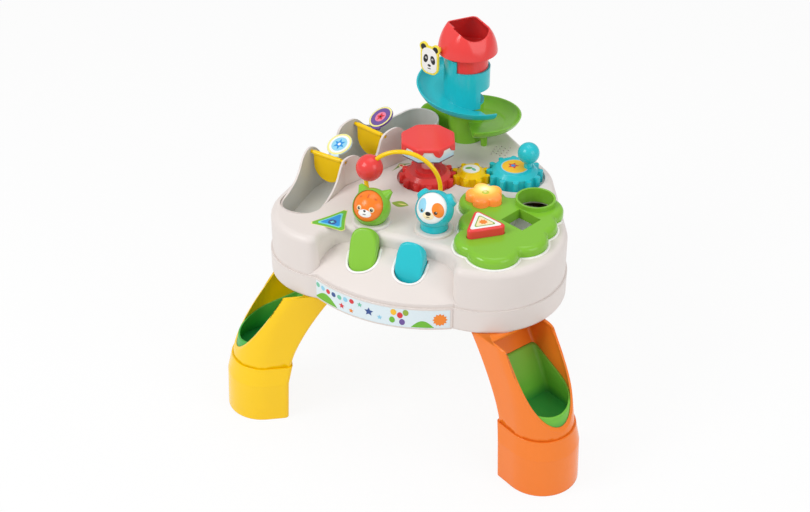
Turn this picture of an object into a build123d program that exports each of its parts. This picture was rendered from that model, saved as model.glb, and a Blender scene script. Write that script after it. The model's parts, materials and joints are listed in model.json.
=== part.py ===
from build123d import *
import os
from math import atan2, cos, degrees, hypot, radians, sin

os.makedirs("parts", exist_ok=True)

# Overall heights of the table, measured from the floor it stands on
DECK_Z = 310
FLOOR_Z = 212
PARTING_Z = 249

# Shell sizes shared by the mouldings
WALL = 3
FIT = 0.4
RUN = 0.35
PRESS = 0.05
TOP_ROUND = 10
BOTTOM_ROUND = 5
HOUSING_STEP = 2.5

# Plan of the housing: the hull of five round lobes, and a round-fronted tongue between the front two
LEFT_LOBE = (-134, -42)
LEFT_LOBE_RADIUS = 88
SIDE_LOBE = (-100, 50)
SIDE_LOBE_RADIUS = 116
REAR_LOBE = (-28, 205)
REAR_LOBE_RADIUS = 80
RIGHT_LOBE = (88, -12)
RIGHT_LOBE_RADIUS = 113
GEAR_LOBE = (70, 128)
GEAR_LOBE_RADIUS = 69
TONGUE_CENTRE = (-22, 54)
TONGUE_RADIUS = 208
TONGUE_HALF_WIDTH = 104

# Sloped dashboard on the tongue: it falls away from the tongue's centre like a fan
DASH_LEFT = -122
DASH_RIGHT = 77
DASH_BACK = -80
DASH_STEP = 20
DASH_DROP = 56
DASH_BULGE = 4
DASH_CORNER = 32
LOBE_CORNER = 14

# Legs: stations of height, inner radius and outer radius from the table centre
LEG_ANGLES = {"yellow_leg": 210, "orange_leg": 330, "rear_leg": 90}
LEG_HALF_WIDTH = 48
LEG_CORNER = 6
LEG_STATIONS = [(90, 211, 294), (115, 203, 289), (145, 188, 282), (180, 166, 266), (FLOOR_Z, 141, 246)]
LEG_LEDGE_Z = 98
LEG_LEDGE = 6
SPIGOT_HEIGHT = 26
SPIGOT_INNER = 142
SPIGOT_OUTER = 185
SPIGOT_HALF_WIDTH = 34
SPIGOT_CORNER = 3
BOOT_HALF_WIDTH = 54
BOOT_LEAN = 3
BOOT_LIP = 2
BOOT_INNER = 219
BOOT_OUTER = 306
BOOT_SHOULDER_Z = 62
BOOT_TOP_Z = 90
BOOT_SOCKET = 18
OPENING_HALF_WIDTH = 44
OPENING_LOW_Z = 114
OPENING_LOW = 282
OPENING_HIGH = 214
CUP_WALL = 2.5
CUP_FRONT = 292
CUP_FRONT_Z = 118
CUP_BACK = 170
CUP_BACK_Z = 170

# Ball run on the left side
TRACK_POINTS = [(-180, -44), (-172, 27), (-136, 99), (-92, 182)]
TRACK_HALF = 29
TRACK_WALL = 3
BASIN_DEPTH = 45
RAMP_LOW = 36
RAMP_FOOT = -22
RAMP_HEAD = 205
DRAIN_POINT = (-170, -55)
DRAIN_RADIUS = 21
DROP_RADIUS = 16
TUBE_WALL = 2.5
WAVE = [
    (-80, 3),
    (-25, 3),
    (0, 21),
    (14, 40),
    (26, 45),
    (38, 43),
    (50, 28),
    (62, 18),
    (75, 31),
    (86, 56),
    (98, 61),
    (110, 60),
    (125, 45),
    (145, 38),
    (215, 40),
]

# Swinging flaps across the ball run: pivot height above the deck
FLAP_PIVOT_Z = {"front_flap": 38, "rear_flap": 53}
FLAP_POINT = {"front_flap": 1, "rear_flap": 2}
FLAP_TURN = {"front_flap": -11, "rear_flap": -20}
FLAP_WIDTH = 48
FLAP_LENGTH = 42
FLAP_THICK = 2.5
FLAP_PIN_RADIUS = 2.5
FLAP_PIN_SET = 0.5
FLAP_BAR = 7
MEDALLION_RADIUS = 19.5
MEDALLION_SHIFT = 11
MEDALLION_LEAN = 66
MEDALLION_THICK = 3

# Gear train: module, tooth counts and places on the deck
MODULE = 6.4
RED_TEETH = 12
YELLOW_TEETH = 8
BLUE_TEETH = 12
RED_GEAR = (-38.5, 86.5)
RED_TO_YELLOW = 24
YELLOW_TO_BLUE = 22
TOOTH_WIDTH = 8
TOOTH_TIP = 3.2
TOOTH_ROOT = 4.5
GEAR_TOP = 13
BLUE_GEAR_TOP = 17
HUB_RISE = 6
HUB_TAPER = 6
GEAR_PIN_RADIUS = 4
WELL_DEPTH = 8
WELL_GAP = 3.5
PIN_SEAT = 10
KNOB_RADIUS = 16
KNOB_REACH = 19
KNOB_ANGLE = 15
KNOB_Z = 41
KNOB_STEM = 6

# Carousel canopy over the red gear
CANOPY_RADIUS = 42
CANOPY_LOW = 45
CANOPY_BAND = 18
CANOPY_CROWN = 5
CANOPY_SIDES = 8
SKIRT_THICK = 2
DROP_LOBE = 8
COLUMN_RADIUS = 9

# Bead arch
ARCH_LEFT = (-94, 4)
ARCH_RIGHT = (-1, 21)
ARCH_CREST = 80
ARCH_ROD = 3.2
ARCH_PLAY = 0.2
ARCH_SEAT = 8
BEAD_RADIUS = 19.5
BEAD_SEAM = (35, 25, 0)
BEAD_ANGLE = 155

# Pop-up heads and their rocker keys
HEAD_Z = 23
EAR_START = 14
FOX_EAR_ANGLE = 40
FOX_EAR = (15, 3, 22)
DOG_EAR_ANGLE = 50
DOG_EAR = (15, 8, 17)
FOX = (-68, -54)
DOG = (21, -41)
STEM_RADIUS = 19.5
PEDESTAL_RADIUS = 27.5
PEDESTAL_TOP = 4.2
PEDESTAL_ROUND = 3
HEAD_RADIUS = 27
FACE_TILT = 36
FACE_SET = 12
FACE_RADIUS = 22
FACE_DROP = 1
KEY_RADIUS = 42
KEY_WIDTH = 40
KEY_ROUND = 18.5
KEY_DEPTH = 11
KEY_FLAT = 28
KEY_FLAT_TILT = 31
KEY_BACK = -3
KEY_EDGE = 3
HUB_RADIUS = 4.7
HUB_WIDTH = 24
KEY_SWING = 12
KEY_ARM = 46
ARM_WIDTH = 12
ARM_TOP = HUB_RADIUS
ARM_THICK = 6
KEY_PIN_RADIUS = 2.5
KEY_GAP = 1.2
EAR_THICK = 4
EAR_SET = 1
EAR_WIDTH = 12
PEDESTAL_SKIRT = 18
GREEN_KEY = (-65, -82)
GREEN_KEY_TURN = 12
TEAL_KEY = (8, -82.5)
TEAL_KEY_TURN = 3

# Bush panel with the sorter holes and two buttons
BUSH_LOBES = [
    ((66, 37), 35),
    ((137, 56), 34),
    ((148, 50), 31),
    ((150, 10), 32),
    ((145, -30), 36),
    ((118, -72), 36),
    ((90, -60), 31),
    ((80, -15), 31),
    ((105, 15), 45),
    ((110, -30), 30),
]
BUSH_TOP = 15
BUSH_ROUND = 8
BUSH_NOTCH = 5
BUSH_SEAT = 6
FLOWER = (67, 38)
FLOWER_PETALS = 5
FLOWER_TURN = 54
FLOWER_ROUND = 5
PETAL_REACH = 15.5
PETAL_RADIUS = 11.5
FLOWER_TOP = 27
ROUND_HOLE = (136.5, 56.5)
ROUND_HOLE_RADIUS = 25.5
ROUND_HOLE_TOP = 22
SQUARE_HOLE = (132, 5)
SQUARE_SIDE = 39
SQUARE_TURN = 67
TRIANGLE = (92, -40)
TRIANGLE_RADIUS = 36
TRIANGLE_CORNER = 6
TRIANGLE_ROUND = 3
TRIANGLE_TURN = 7.5
TRIANGLE_TOP = 28
BUTTON_FLANGE = 2.5
FLOWER_TRAVEL = 3
TRIANGLE_TRAVEL = 4
BUTTON_GAP = 0.6
BUTTON_LIP = 2.2
PLUNGER_RADIUS = 3
BUSH_SIDE_WALL = 4
CHUTE_LEFT = 104
CHUTE_RIGHT = 172
CHUTE_BACK = 88
CHUTE_FOOT = -64
CHUTE_FRONT = -104
CHUTE_TOP = -13
CHUTE_HIGH = -26
CHUTE_LOW = -66
CHUTE_WALL = 2.5
CHUTE_PLAY = 1

# Slide tower at the back
TOWER = (-30, 225)
GREEN_COLUMN = 27
GREEN_COLUMN_TOP = 62
BLUE_COLUMN = 35
BLUE_COLUMN_TOP = 121
PLUG_DEPTH = 10
GREEN_SLIDE_RADIUS = 85
BLUE_SLIDE_RADIUS = 76
GREEN_SLIDE_ENDS = (298, 540)
GREEN_SLIDE_FLOORS = (38, 3.2)
BLUE_SLIDE_ENDS = (130, 327)
BLUE_SLIDE_FLOORS = (92, 58)
SLIDE_THICK = 2.5
SLIDE_RIM = 13
SLIDE_STEP = 22
SLIDE_DRAW = 0.7
TRAY_BEND = 1.3
TRAY_SAG = 0.3
TRAY_LIP = 1.5
ROOM_TURN = 5
ROOM_GAP = 8
GREEN_SLIDE_EXIT = 73
GUARD_TOP = 44
GUARD_ROUND = 16
WALL_ENDS = (180, 262)
WINDOW_ENDS = (95, 178)
SLIDE_PEG = (335, 40)
SLIDE_PEG_RADIUS = 5
SLIDE_PEG_TOP = 32
WALL_TOP = 139
ROOF_FLARE = 140
ROOF_RADIUS = 45
ROOF_SHOULDER_Z = 166
ROOF_SHOULDER = 77
DIP_RADIUS = 32
SHOULDER_CORNER = 31
MOUTH_CORNER = 8
ROOF_EAVES = 146
EAVES_FLAT = 0.1
EAVES_LIP = 1.2
ROOF_TOP = 186
ROOF_OPENING = 50
ROOF_DIP = 13
ROOF_TURN = 47
BADGE_ANGLE = 216
BADGE_LOOK = 253
BADGE_Z = 136
BADGE_WIDTH = 33
BADGE_HEIGHT = 45
BADGE_CORNER = 13
BADGE_EAR = 7.5
BADGE_EAR_OUT = 11
BADGE_EAR_UP = 19.5
BADGE_THICK = 3
BADGE_PEG = 3.5
PEG_LENGTH = 14

# Electronics, battery bay and fasteners
SCREW_POINTS = [(-75, 130), (12, 165), (186, 14), (88, -97), (-27, -118), (-105, -30)]
SCREW_RADIUS = 1.6
SCREW_HEAD = 3.2
SCREW_SINK = 3
SCREW_LENGTH = 42
POST_RADIUS = 5
BAY_CENTRE = (-5, 42)
BAY_LENGTH = 55
BAY_WIDTH = 52
BAY_HEIGHT = 18
COVER_LAP = 4
COVER_THICK = 1.8
COVER_TAB = 6
COVER_SCREW = (BAY_CENTRE[0] + BAY_LENGTH / 2 + 8, BAY_CENTRE[1])
COVER_POST = 14
BATTERY_PITCH = 15.5
BATTERY_RADIUS = 7.1
BATTERY_LENGTH = 50.5
BOARD_CENTRE = (76, -2)
BOARD_LENGTH = 118
BOARD_WIDTH = 50
BOARD_THICK = 1.6
BOARD_HOLE = 4
BOARD_POST = 3.5
BOARD_Z = DECK_Z - 24
CONTACT_SIZE = 6
CONTACT_HEIGHT = 3.5
SPEAKER = (36, 200)
SPEAKER_RADIUS = 20
SPEAKER_HEIGHT = 12
SWITCH_POINT = (62, 20)
SWITCH_TRAVEL = 4
SWITCH_WIDTH = 7
SWITCH_LENGTH = 10
GRILLE_PITCH = 4
GRILLE_HOLE = 1.4
GRILLE_ROWS = 4

# The origin is under the middle of the box, from the front feet to the tower slide
BOOT_ARC = BOOT_OUTER - BOOT_HALF_WIDTH
FRONT_REACH = BOOT_ARC * sin(radians(30)) + BOOT_HALF_WIDTH
REAR_REACH = TOWER[1] + GREEN_SLIDE_RADIUS
CENTRE_Y = (FRONT_REACH - REAR_REACH) / 2
TABLE = Plane(origin=(0, CENTRE_Y, 0))
SIDE = Plane(origin=(0, CENTRE_Y, 0), x_dir=(0, 1, 0), z_dir=(1, 0, 0))

DASH_REACH = TONGUE_CENTRE[1] - DASH_BACK
DASH_RUN = TONGUE_RADIUS - DASH_REACH
DASH_SLOPE = degrees(atan2(DASH_DROP - DASH_STEP, DASH_RUN))


def save(piece, name):
    piece.label = name
    export_step(piece, f"parts/{name}.step")


def turned(point, z, angle):
    """Level plane at a place on the table, turned about the vertical."""
    x_dir = (cos(radians(angle)), sin(radians(angle)), 0)
    return Plane(origin=(point[0], point[1] + CENTRE_Y, z), x_dir=x_dir, z_dir=(0, 0, 1))


def draw_lobes(grow):
    """Draws the hull of the housing's lobes, grown by a distance, in the open sketch."""
    lobes = [
        (LEFT_LOBE, LEFT_LOBE_RADIUS),
        (SIDE_LOBE, SIDE_LOBE_RADIUS),
        (REAR_LOBE, REAR_LOBE_RADIUS),
        (RIGHT_LOBE, RIGHT_LOBE_RADIUS),
        (GEAR_LOBE, GEAR_LOBE_RADIUS),
    ]
    for centre, radius in lobes:
        with Locations(centre):
            Circle(radius + grow)
    make_hull()


def housing_plan(grow):
    """The housing's whole plan, grown by a distance."""
    with BuildSketch() as tongue:
        with Locations(TONGUE_CENTRE):
            Circle(TONGUE_RADIUS + grow)
        with Locations((TONGUE_CENTRE[0], TONGUE_CENTRE[1] - TONGUE_RADIUS)):
            Rectangle(2 * TONGUE_HALF_WIDTH, 2 * TONGUE_RADIUS, mode=Mode.INTERSECT)
    with BuildSketch() as plan:
        draw_lobes(grow)
        add(tongue.sketch)
    return plan.sketch


def raised_plan(inset):
    """The plan of the housing's raised part, drawn in: the lobes less the dashboard."""
    sides = (DASH_LEFT - inset, DASH_RIGHT + inset)
    with BuildSketch() as raised:
        draw_lobes(-inset)
        with Locations((sum(sides) / 2, DASH_BACK + inset - DASH_RUN * 1.5)):
            RectangleRounded(sides[1] - sides[0], DASH_RUN * 3, DASH_CORNER + inset, mode=Mode.SUBTRACT)
        offset(amount=inset - LOBE_CORNER)
        offset(amount=LOBE_CORNER - inset)
    return raised.sketch


def slope_z(reach):
    """Height of the dashboard's sloped face at a distance from the tongue's centre."""
    share = (reach - DASH_REACH) / DASH_RUN
    rise = 4 * DASH_BULGE * share * (1 - share)
    return DECK_Z - DASH_STEP - share * (DASH_DROP - DASH_STEP) + rise


def dashboard_block(inset):
    """The tongue under the dashboard's sloped face, drawn in by a distance."""
    drop = inset / cos(radians(DASH_SLOPE))
    stations = [DASH_REACH - DASH_RUN / 4, DASH_REACH + DASH_RUN / 2, TONGUE_RADIUS + DASH_RUN / 4]
    back, middle, front = [(reach, slope_z(reach) - drop) for reach in stations]
    hub = (TONGUE_CENTRE[0], TONGUE_CENTRE[1] + CENTRE_Y, 0)
    width = DASH_RIGHT - DASH_LEFT + 2 * LOBE_CORNER + 2 * WALL
    plan = housing_plan(-inset)
    with BuildPart() as block:
        with BuildSketch(Plane(origin=hub, x_dir=(0, -1, 0), z_dir=(-1, 0, 0))):
            with BuildLine():
                ThreePointArc(back, middle, front)
                Polyline(front, (front[0], FLOOR_Z), (back[0], FLOOR_Z), back)
            make_face()
        revolve(axis=Axis(hub, (0, 0, 1)))
        with BuildSketch(TABLE.offset(PARTING_Z)):
            add(plan)
            with Locations(((DASH_LEFT + DASH_RIGHT) / 2, DASH_BACK + WALL + inset - DASH_RUN)):
                Rectangle(width, 2 * DASH_RUN, mode=Mode.INTERSECT)
        extrude(amount=DECK_Z - PARTING_Z, mode=Mode.INTERSECT)
    return block.part


def housing_body(inset):
    """The upper housing as a block, drawn in by a distance all round."""
    tongue = dashboard_block(inset)
    raised = raised_plan(inset)
    with BuildPart() as body:
        with BuildSketch(TABLE.offset(PARTING_Z)):
            add(raised)
        extrude(amount=DECK_Z - inset - PARTING_Z)
        fillet(body.faces().sort_by(Axis.Z)[-1].edges(), TOP_ROUND - inset)
        add(tongue)
    return body.part


def draw_run(half, points):
    """Draws a channel of a half width along points, with round ends and corners."""
    for start, end in zip(points, points[1:]):
        run = (end[0] - start[0], end[1] - start[1])
        with Locations(((start[0] + end[0]) / 2, (start[1] + end[1]) / 2)):
            SlotCenterToCenter(hypot(*run), 2 * half, rotation=degrees(atan2(run[1], run[0])))


def draw_bush(grow):
    """Draws the bush's lobed outline, grown by a distance, with its notches rounded."""
    for centre, radius in BUSH_LOBES:
        with Locations(centre):
            Circle(radius + grow + BUSH_NOTCH)
    offset(amount=-BUSH_NOTCH)


def triangle_points(radius):
    angles = [radians(TRIANGLE_TURN + 120 * side) for side in range(3)]
    return [(TRIANGLE[0] + radius * cos(a), TRIANGLE[1] + radius * sin(a)) for a in angles]


def draw_leg(section, inner, outer, half, corner):
    """Draws a leg section: flat towards the table's middle, round on the outside."""
    middle = outer - half
    with Locations((middle, 0)):
        Circle(half)
    with Locations((middle - half, 0)):
        Rectangle(2 * half, 2 * half, mode=Mode.SUBTRACT)
    with Locations(((inner + middle) / 2, 0)):
        Rectangle(middle - inner, 2 * half)
    fillet(section.vertices().group_by(Axis.X)[0], corner)


def draw_spigot(section, grow):
    """Draws the section of a leg's top spigot, grown by a distance."""
    draw_leg(section, SPIGOT_INNER - grow, SPIGOT_OUTER + grow, SPIGOT_HALF_WIDTH + grow, SPIGOT_CORNER)


def leg_loft(angle, stations, inset, low, high, straight=False):
    """A leg's solid through its stations, drawn in all round and kept between two heights."""
    with BuildPart() as solid:
        for z, inner, outer, half in stations:
            with BuildSketch(turned((0, 0), z, angle)) as section:
                draw_leg(section, inner + inset, outer - inset, half - inset, LEG_CORNER)
        loft(ruled=straight)
        with BuildSketch(TABLE.offset(low)):
            Rectangle(4 * BOOT_OUTER, 4 * BOOT_OUTER)
        extrude(amount=high - low, mode=Mode.INTERSECT)
    return solid.part


def leg_upright(angle):
    """Upright plane through a leg's middle: x outward from the table's centre, y up."""
    out = (cos(radians(angle)), sin(radians(angle)), 0)
    across = (sin(radians(angle)), -cos(radians(angle)), 0)
    return Plane(origin=(0, CENTRE_Y, 0), x_dir=out, z_dir=across)


def leg_opening(angle):
    """The slanting cut that opens the outer side of a leg."""
    rise = FLOOR_Z - OPENING_LOW_Z
    lean = OPENING_LOW - OPENING_HIGH
    out = (cos(radians(angle)), sin(radians(angle)))
    foot = (OPENING_LOW * out[0], OPENING_LOW * out[1] + CENTRE_Y, OPENING_LOW_Z)
    slant = Plane(origin=foot, x_dir=(-out[1], out[0], 0), z_dir=(rise * out[0], rise * out[1], lean))
    with BuildPart() as slot:
        with BuildSketch(slant):
            with Locations((0, rise)):
                Rectangle(2 * OPENING_HALF_WIDTH, 3 * rise)
        extrude(amount=rise)
        with BuildSketch(TABLE):
            Rectangle(4 * BOOT_OUTER, 4 * BOOT_OUTER)
        extrude(amount=FLOOR_Z, mode=Mode.INTERSECT)
    return slot.part


def hollow_leg(angle):
    """A leg moulding with a spigot at each end and a ledge inside near its foot."""
    outer = leg_loft(angle, LEG_BODY, 0, BOOT_TOP_Z, FLOOR_Z)
    room = leg_loft(angle, LEG_BODY, WALL, LEG_LEDGE_Z, FLOOR_Z - WALL)
    throat = leg_loft(angle, LEG_BODY, WALL + LEG_LEDGE, BOOT_TOP_Z, LEG_LEDGE_Z)
    plug = leg_loft(angle, BOOT_BODY, WALL + FIT, BOOT_TOP_Z - BOOT_SOCKET, BOOT_TOP_Z, True)
    plug_hole = leg_loft(angle, BOOT_BODY, 2 * WALL + FIT, BOOT_TOP_Z - BOOT_SOCKET, BOOT_TOP_Z, True)
    with BuildPart() as leg:
        add(outer)
        add(plug)
        with BuildSketch(turned((0, 0), FLOOR_Z, angle)) as spigot:
            draw_spigot(spigot, 0)
        extrude(amount=SPIGOT_HEIGHT)
        add(room, mode=Mode.SUBTRACT)
        add(throat, mode=Mode.SUBTRACT)
        add(plug_hole, mode=Mode.SUBTRACT)
        with BuildSketch(turned((0, 0), FLOOR_Z - WALL, angle)) as passage:
            draw_spigot(passage, -WALL)
        extrude(amount=SPIGOT_HEIGHT + WALL, mode=Mode.SUBTRACT)
    return leg.part


def leg_cup(angle):
    """The cup that stands on a leg's ledge, its rim sloping to the front."""
    body = leg_loft(angle, LEG_BODY, WALL + FIT, LEG_LEDGE_Z, FLOOR_Z)
    room = leg_loft(angle, LEG_BODY, WALL + FIT + CUP_WALL, LEG_LEDGE_Z + CUP_WALL, FLOOR_Z)
    with BuildPart() as cup:
        add(body)
        with BuildSketch(leg_upright(angle)):
            Polygon(
                (CUP_BACK, LEG_LEDGE_Z),
                (CUP_FRONT, LEG_LEDGE_Z),
                (CUP_FRONT, CUP_FRONT_Z),
                (CUP_BACK, CUP_BACK_Z),
                align=None,
            )
        extrude(amount=2 * LEG_HALF_WIDTH, both=True, mode=Mode.INTERSECT)
        add(room, mode=Mode.SUBTRACT)
    return cup.part


LEG_BODY = [station + (LEG_HALF_WIDTH,) for station in LEG_STATIONS]
BOOT_LOW = (0, BOOT_INNER, BOOT_OUTER, BOOT_HALF_WIDTH)
BOOT_SHOULDER = (BOOT_SHOULDER_Z, BOOT_INNER - BOOT_LEAN, BOOT_OUTER - BOOT_LEAN, BOOT_HALF_WIDTH)
BOOT_RIM = (LEG_STATIONS[0][1] - BOOT_LIP, LEG_STATIONS[0][2] + BOOT_LIP, LEG_HALF_WIDTH + BOOT_LIP)
BOOT_TOP = (BOOT_TOP_Z, *BOOT_RIM)
BOOT_BODY = [BOOT_LOW, BOOT_SHOULDER, BOOT_TOP]
YELLOW_GEAR_SPAN = MODULE * (RED_TEETH + YELLOW_TEETH) / 2
BLUE_GEAR_SPAN = MODULE * (YELLOW_TEETH + BLUE_TEETH) / 2


def polar(centre, radius, angle):
    return (centre[0] + radius * cos(radians(angle)), centre[1] + radius * sin(radians(angle)))


YELLOW_GEAR = polar(RED_GEAR, YELLOW_GEAR_SPAN, RED_TO_YELLOW)
BLUE_GEAR = polar(YELLOW_GEAR, BLUE_GEAR_SPAN, YELLOW_TO_BLUE)
GEAR_PLACES = [(RED_GEAR, RED_TEETH), (YELLOW_GEAR, YELLOW_TEETH), (BLUE_GEAR, BLUE_TEETH)]


def tip_radius(teeth):
    return MODULE * teeth / 2 + TOOTH_TIP


def gear_blank(place, teeth, phase, top):
    """A toy gear with straight, round-tipped teeth, standing in its well."""
    low = DECK_Z - WELL_DEPTH + RUN
    root = MODULE * teeth / 2 - TOOTH_ROOT
    tip_centre = tip_radius(teeth) - TOOTH_WIDTH / 2
    with BuildPart() as blank:
        with BuildSketch(turned(place, low, 0)):
            Circle(root)
            with PolarLocations(tip_centre / 2, teeth, start_angle=phase):
                Rectangle(tip_centre, TOOTH_WIDTH)
            with PolarLocations(tip_centre, teeth, start_angle=phase):
                Circle(TOOTH_WIDTH / 2)
        extrude(amount=DECK_Z + top - HUB_RISE - low)
        with BuildSketch(turned(place, DECK_Z + top - HUB_RISE, 0)):
            Circle(root)
        with BuildSketch(turned(place, DECK_Z + top, 0)):
            Circle(root - HUB_TAPER)
        loft()
        with BuildSketch(turned(place, low, 0)):
            Circle(GEAR_PIN_RADIUS + RUN)
        extrude(amount=DECK_Z + top - WALL - low, mode=Mode.SUBTRACT)
    return blank.part


def key_plane(pivot, turn):
    """Plane on a key's pivot axis: x along the axis, y to the back, z up."""
    run = KEY_DEPTH * sin(radians(DASH_SLOPE))
    drop = KEY_DEPTH * cos(radians(DASH_SLOPE))
    reach = hypot(pivot[0] - TONGUE_CENTRE[0], pivot[1] - TONGUE_CENTRE[1])
    return turned(pivot, slope_z(reach + run) - drop, turn)


def key_drum(plane, grow):
    """The round body of a key about its pivot axis, grown by a distance."""
    with BuildPart() as drum:
        with BuildSketch(plane) as profile:
            with Locations((0, (KEY_RADIUS + grow) / 2)):
                Rectangle(KEY_WIDTH + 2 * grow, KEY_RADIUS + grow)
            fillet(profile.vertices().group_by(Axis.Y)[-1], KEY_ROUND + grow)
        revolve(axis=Axis(plane.origin, plane.x_dir))
    return drum.part


def rocker_key(rest):
    """A rocker key: drum-shaped pad, hub, and an arm that lifts the head's stem."""
    slope = rest.rotated((DASH_SLOPE, 0, 0))
    flat = slope.rotated((KEY_FLAT_TILT, 0, 0))
    drum = key_drum(rest, 0)
    with BuildPart() as key:
        add(drum)
        with BuildSketch(flat.offset(KEY_FLAT)):
            Rectangle(4 * KEY_RADIUS, 4 * KEY_RADIUS)
        extrude(amount=KEY_RADIUS, mode=Mode.SUBTRACT)
        fillet(key.faces().sort_by(Axis(flat.origin, flat.z_dir))[-1].edges(), KEY_EDGE)
        with BuildSketch(slope.offset(-HUB_RADIUS - KEY_GAP)):
            Rectangle(4 * KEY_RADIUS, 4 * KEY_RADIUS)
        extrude(amount=-KEY_RADIUS, mode=Mode.SUBTRACT)
        with BuildSketch(rest):
            with Locations((0, KEY_BACK + KEY_RADIUS)):
                Rectangle(2 * KEY_WIDTH, 2 * KEY_RADIUS)
        extrude(amount=2 * KEY_RADIUS, both=True, mode=Mode.SUBTRACT)
        with BuildSketch(Plane(rest.origin, x_dir=rest.y_dir, z_dir=rest.x_dir)):
            Circle(HUB_RADIUS)
        extrude(amount=HUB_WIDTH / 2, both=True)
        with BuildSketch(rest.offset(ARM_TOP)):
            with Locations((0, KEY_ARM / 2)):
                Rectangle(ARM_WIDTH, KEY_ARM)
        extrude(amount=-ARM_THICK)
        with BuildSketch(Plane(rest.origin, x_dir=rest.y_dir, z_dir=rest.x_dir)):
            Circle(KEY_PIN_RADIUS + RUN)
        extrude(amount=KEY_WIDTH, both=True, mode=Mode.SUBTRACT)
    return key.part


def radial_plane(angle):
    """Upright plane through the tower's axis: x outward, y up, level with the deck."""
    out = (cos(radians(angle)), sin(radians(angle)), 0)
    across = (sin(radians(angle)), -cos(radians(angle)), 0)
    return Plane(origin=(TOWER[0], TOWER[1] + CENTRE_Y, DECK_Z), x_dir=out, z_dir=across)


def spiral_tray(column, radii, ends, floors):
    """A dished tray that winds down round the tower's column, drawn in towards its end."""
    count = round((ends[1] - ends[0]) / SLIDE_STEP)
    with BuildPart() as tray:
        for step in range(count + 1):
            share = step / count
            angle = ends[0] + share * (ends[1] - ends[0])
            floor = floors[0] + share * (floors[1] - floors[0])
            radius = radii[0] + (radii[1] - radii[0]) * max(0, share - SLIDE_DRAW) / (1 - SLIDE_DRAW)
            bend = radius - 2 * SLIDE_RIM
            rim = floor + SLIDE_RIM
            middle = bend + TRAY_BEND * SLIDE_RIM
            sag = floor + TRAY_SAG * SLIDE_RIM
            with BuildSketch(radial_plane(angle)):
                with BuildLine():
                    Line((column, floor), (bend, floor))
                    top = (radius - SLIDE_THICK, rim)
                    ThreePointArc((bend, floor), (middle, sag), top)
                    Line(top, (radius, rim))
                    low = (bend + TRAY_LIP, floor - SLIDE_THICK)
                    lower_middle = (middle + TRAY_LIP, sag - SLIDE_THICK)
                    ThreePointArc((radius, rim), lower_middle, low)
                    Line(low, (column, floor - SLIDE_THICK))
                    Line((column, floor - SLIDE_THICK), (column, floor))
                make_face()
        loft()
    return tray.part


# Lower housing: a tray with leg sockets, screw posts and the battery bay
lower_plan = housing_plan(HOUSING_STEP)
lower_room_plan = housing_plan(HOUSING_STEP - WALL)
with BuildPart() as lower_housing:
    with BuildSketch(TABLE.offset(FLOOR_Z)):
        add(lower_plan)
    extrude(amount=PARTING_Z - FLOOR_Z)
    fillet(lower_housing.faces().sort_by(Axis.Z)[0].edges(), BOTTOM_ROUND)
    with BuildSketch(TABLE.offset(FLOOR_Z + WALL)):
        add(lower_room_plan)
    extrude(amount=PARTING_Z - FLOOR_Z, mode=Mode.SUBTRACT)
    with BuildSketch(TABLE.offset(FLOOR_Z)):
        with Locations(BAY_CENTRE):
            Rectangle(BAY_LENGTH + 2 * WALL, BAY_WIDTH + 2 * WALL)
    extrude(amount=BAY_HEIGHT + WALL)
    with BuildSketch(TABLE.offset(FLOOR_Z)):
        with Locations(BAY_CENTRE):
            Rectangle(BAY_LENGTH, BAY_WIDTH)
    extrude(amount=BAY_HEIGHT, mode=Mode.SUBTRACT)
    with BuildSketch(TABLE.offset(FLOOR_Z)):
        with Locations(BAY_CENTRE):
            Rectangle(BAY_LENGTH + 2 * COVER_LAP, BAY_WIDTH + 2 * COVER_LAP)
        with Locations(COVER_SCREW):
            Circle(COVER_TAB)
    extrude(amount=COVER_THICK, mode=Mode.SUBTRACT)
    with BuildSketch(TABLE.offset(FLOOR_Z + COVER_THICK)):
        with Locations(COVER_SCREW):
            Circle(POST_RADIUS)
    extrude(amount=COVER_POST)
    with BuildSketch(TABLE.offset(FLOOR_Z + COVER_THICK)):
        with Locations(COVER_SCREW):
            Circle(SCREW_RADIUS + PRESS)
    extrude(amount=COVER_POST - WALL, mode=Mode.SUBTRACT)
    with BuildSketch(TABLE.offset(FLOOR_Z)):
        with Locations(*SCREW_POINTS):
            Circle(POST_RADIUS)
    extrude(amount=PARTING_Z - FLOOR_Z)
    with BuildSketch(TABLE.offset(FLOOR_Z)):
        with Locations(*SCREW_POINTS):
            Circle(SCREW_RADIUS + FIT)
    extrude(amount=PARTING_Z - FLOOR_Z, mode=Mode.SUBTRACT)
    with BuildSketch(TABLE.offset(FLOOR_Z)):
        with Locations(*SCREW_POINTS):
            Circle(SCREW_HEAD + FIT)
    extrude(amount=SCREW_SINK, mode=Mode.SUBTRACT)
    with BuildSketch(TABLE.offset(FLOOR_Z)):
        with Locations(SWITCH_POINT):
            Rectangle(SWITCH_WIDTH + 2 * RUN, SWITCH_LENGTH + 2 * SWITCH_TRAVEL + 2 * RUN)
    extrude(amount=WALL, mode=Mode.SUBTRACT)
    for angle in LEG_ANGLES.values():
        with BuildSketch(turned((0, 0), FLOOR_Z, angle)) as socket:
            draw_spigot(socket, WALL + FIT)
        extrude(amount=SPIGOT_HEIGHT)
        with BuildSketch(turned((0, 0), FLOOR_Z, angle)) as mouth:
            draw_spigot(mouth, FIT)
        extrude(amount=SPIGOT_HEIGHT, mode=Mode.SUBTRACT)
    with BuildSketch(TABLE.offset(FLOOR_Z + WALL)):
        with Locations(BOARD_CENTRE):
            with GridLocations(BOARD_WIDTH - 2 * BOARD_HOLE, BOARD_LENGTH - 2 * BOARD_HOLE, 2, 2):
                Circle(BOARD_POST)
    extrude(amount=BOARD_Z - FLOOR_Z - WALL)
save(lower_housing.part, "lower_housing")

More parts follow.
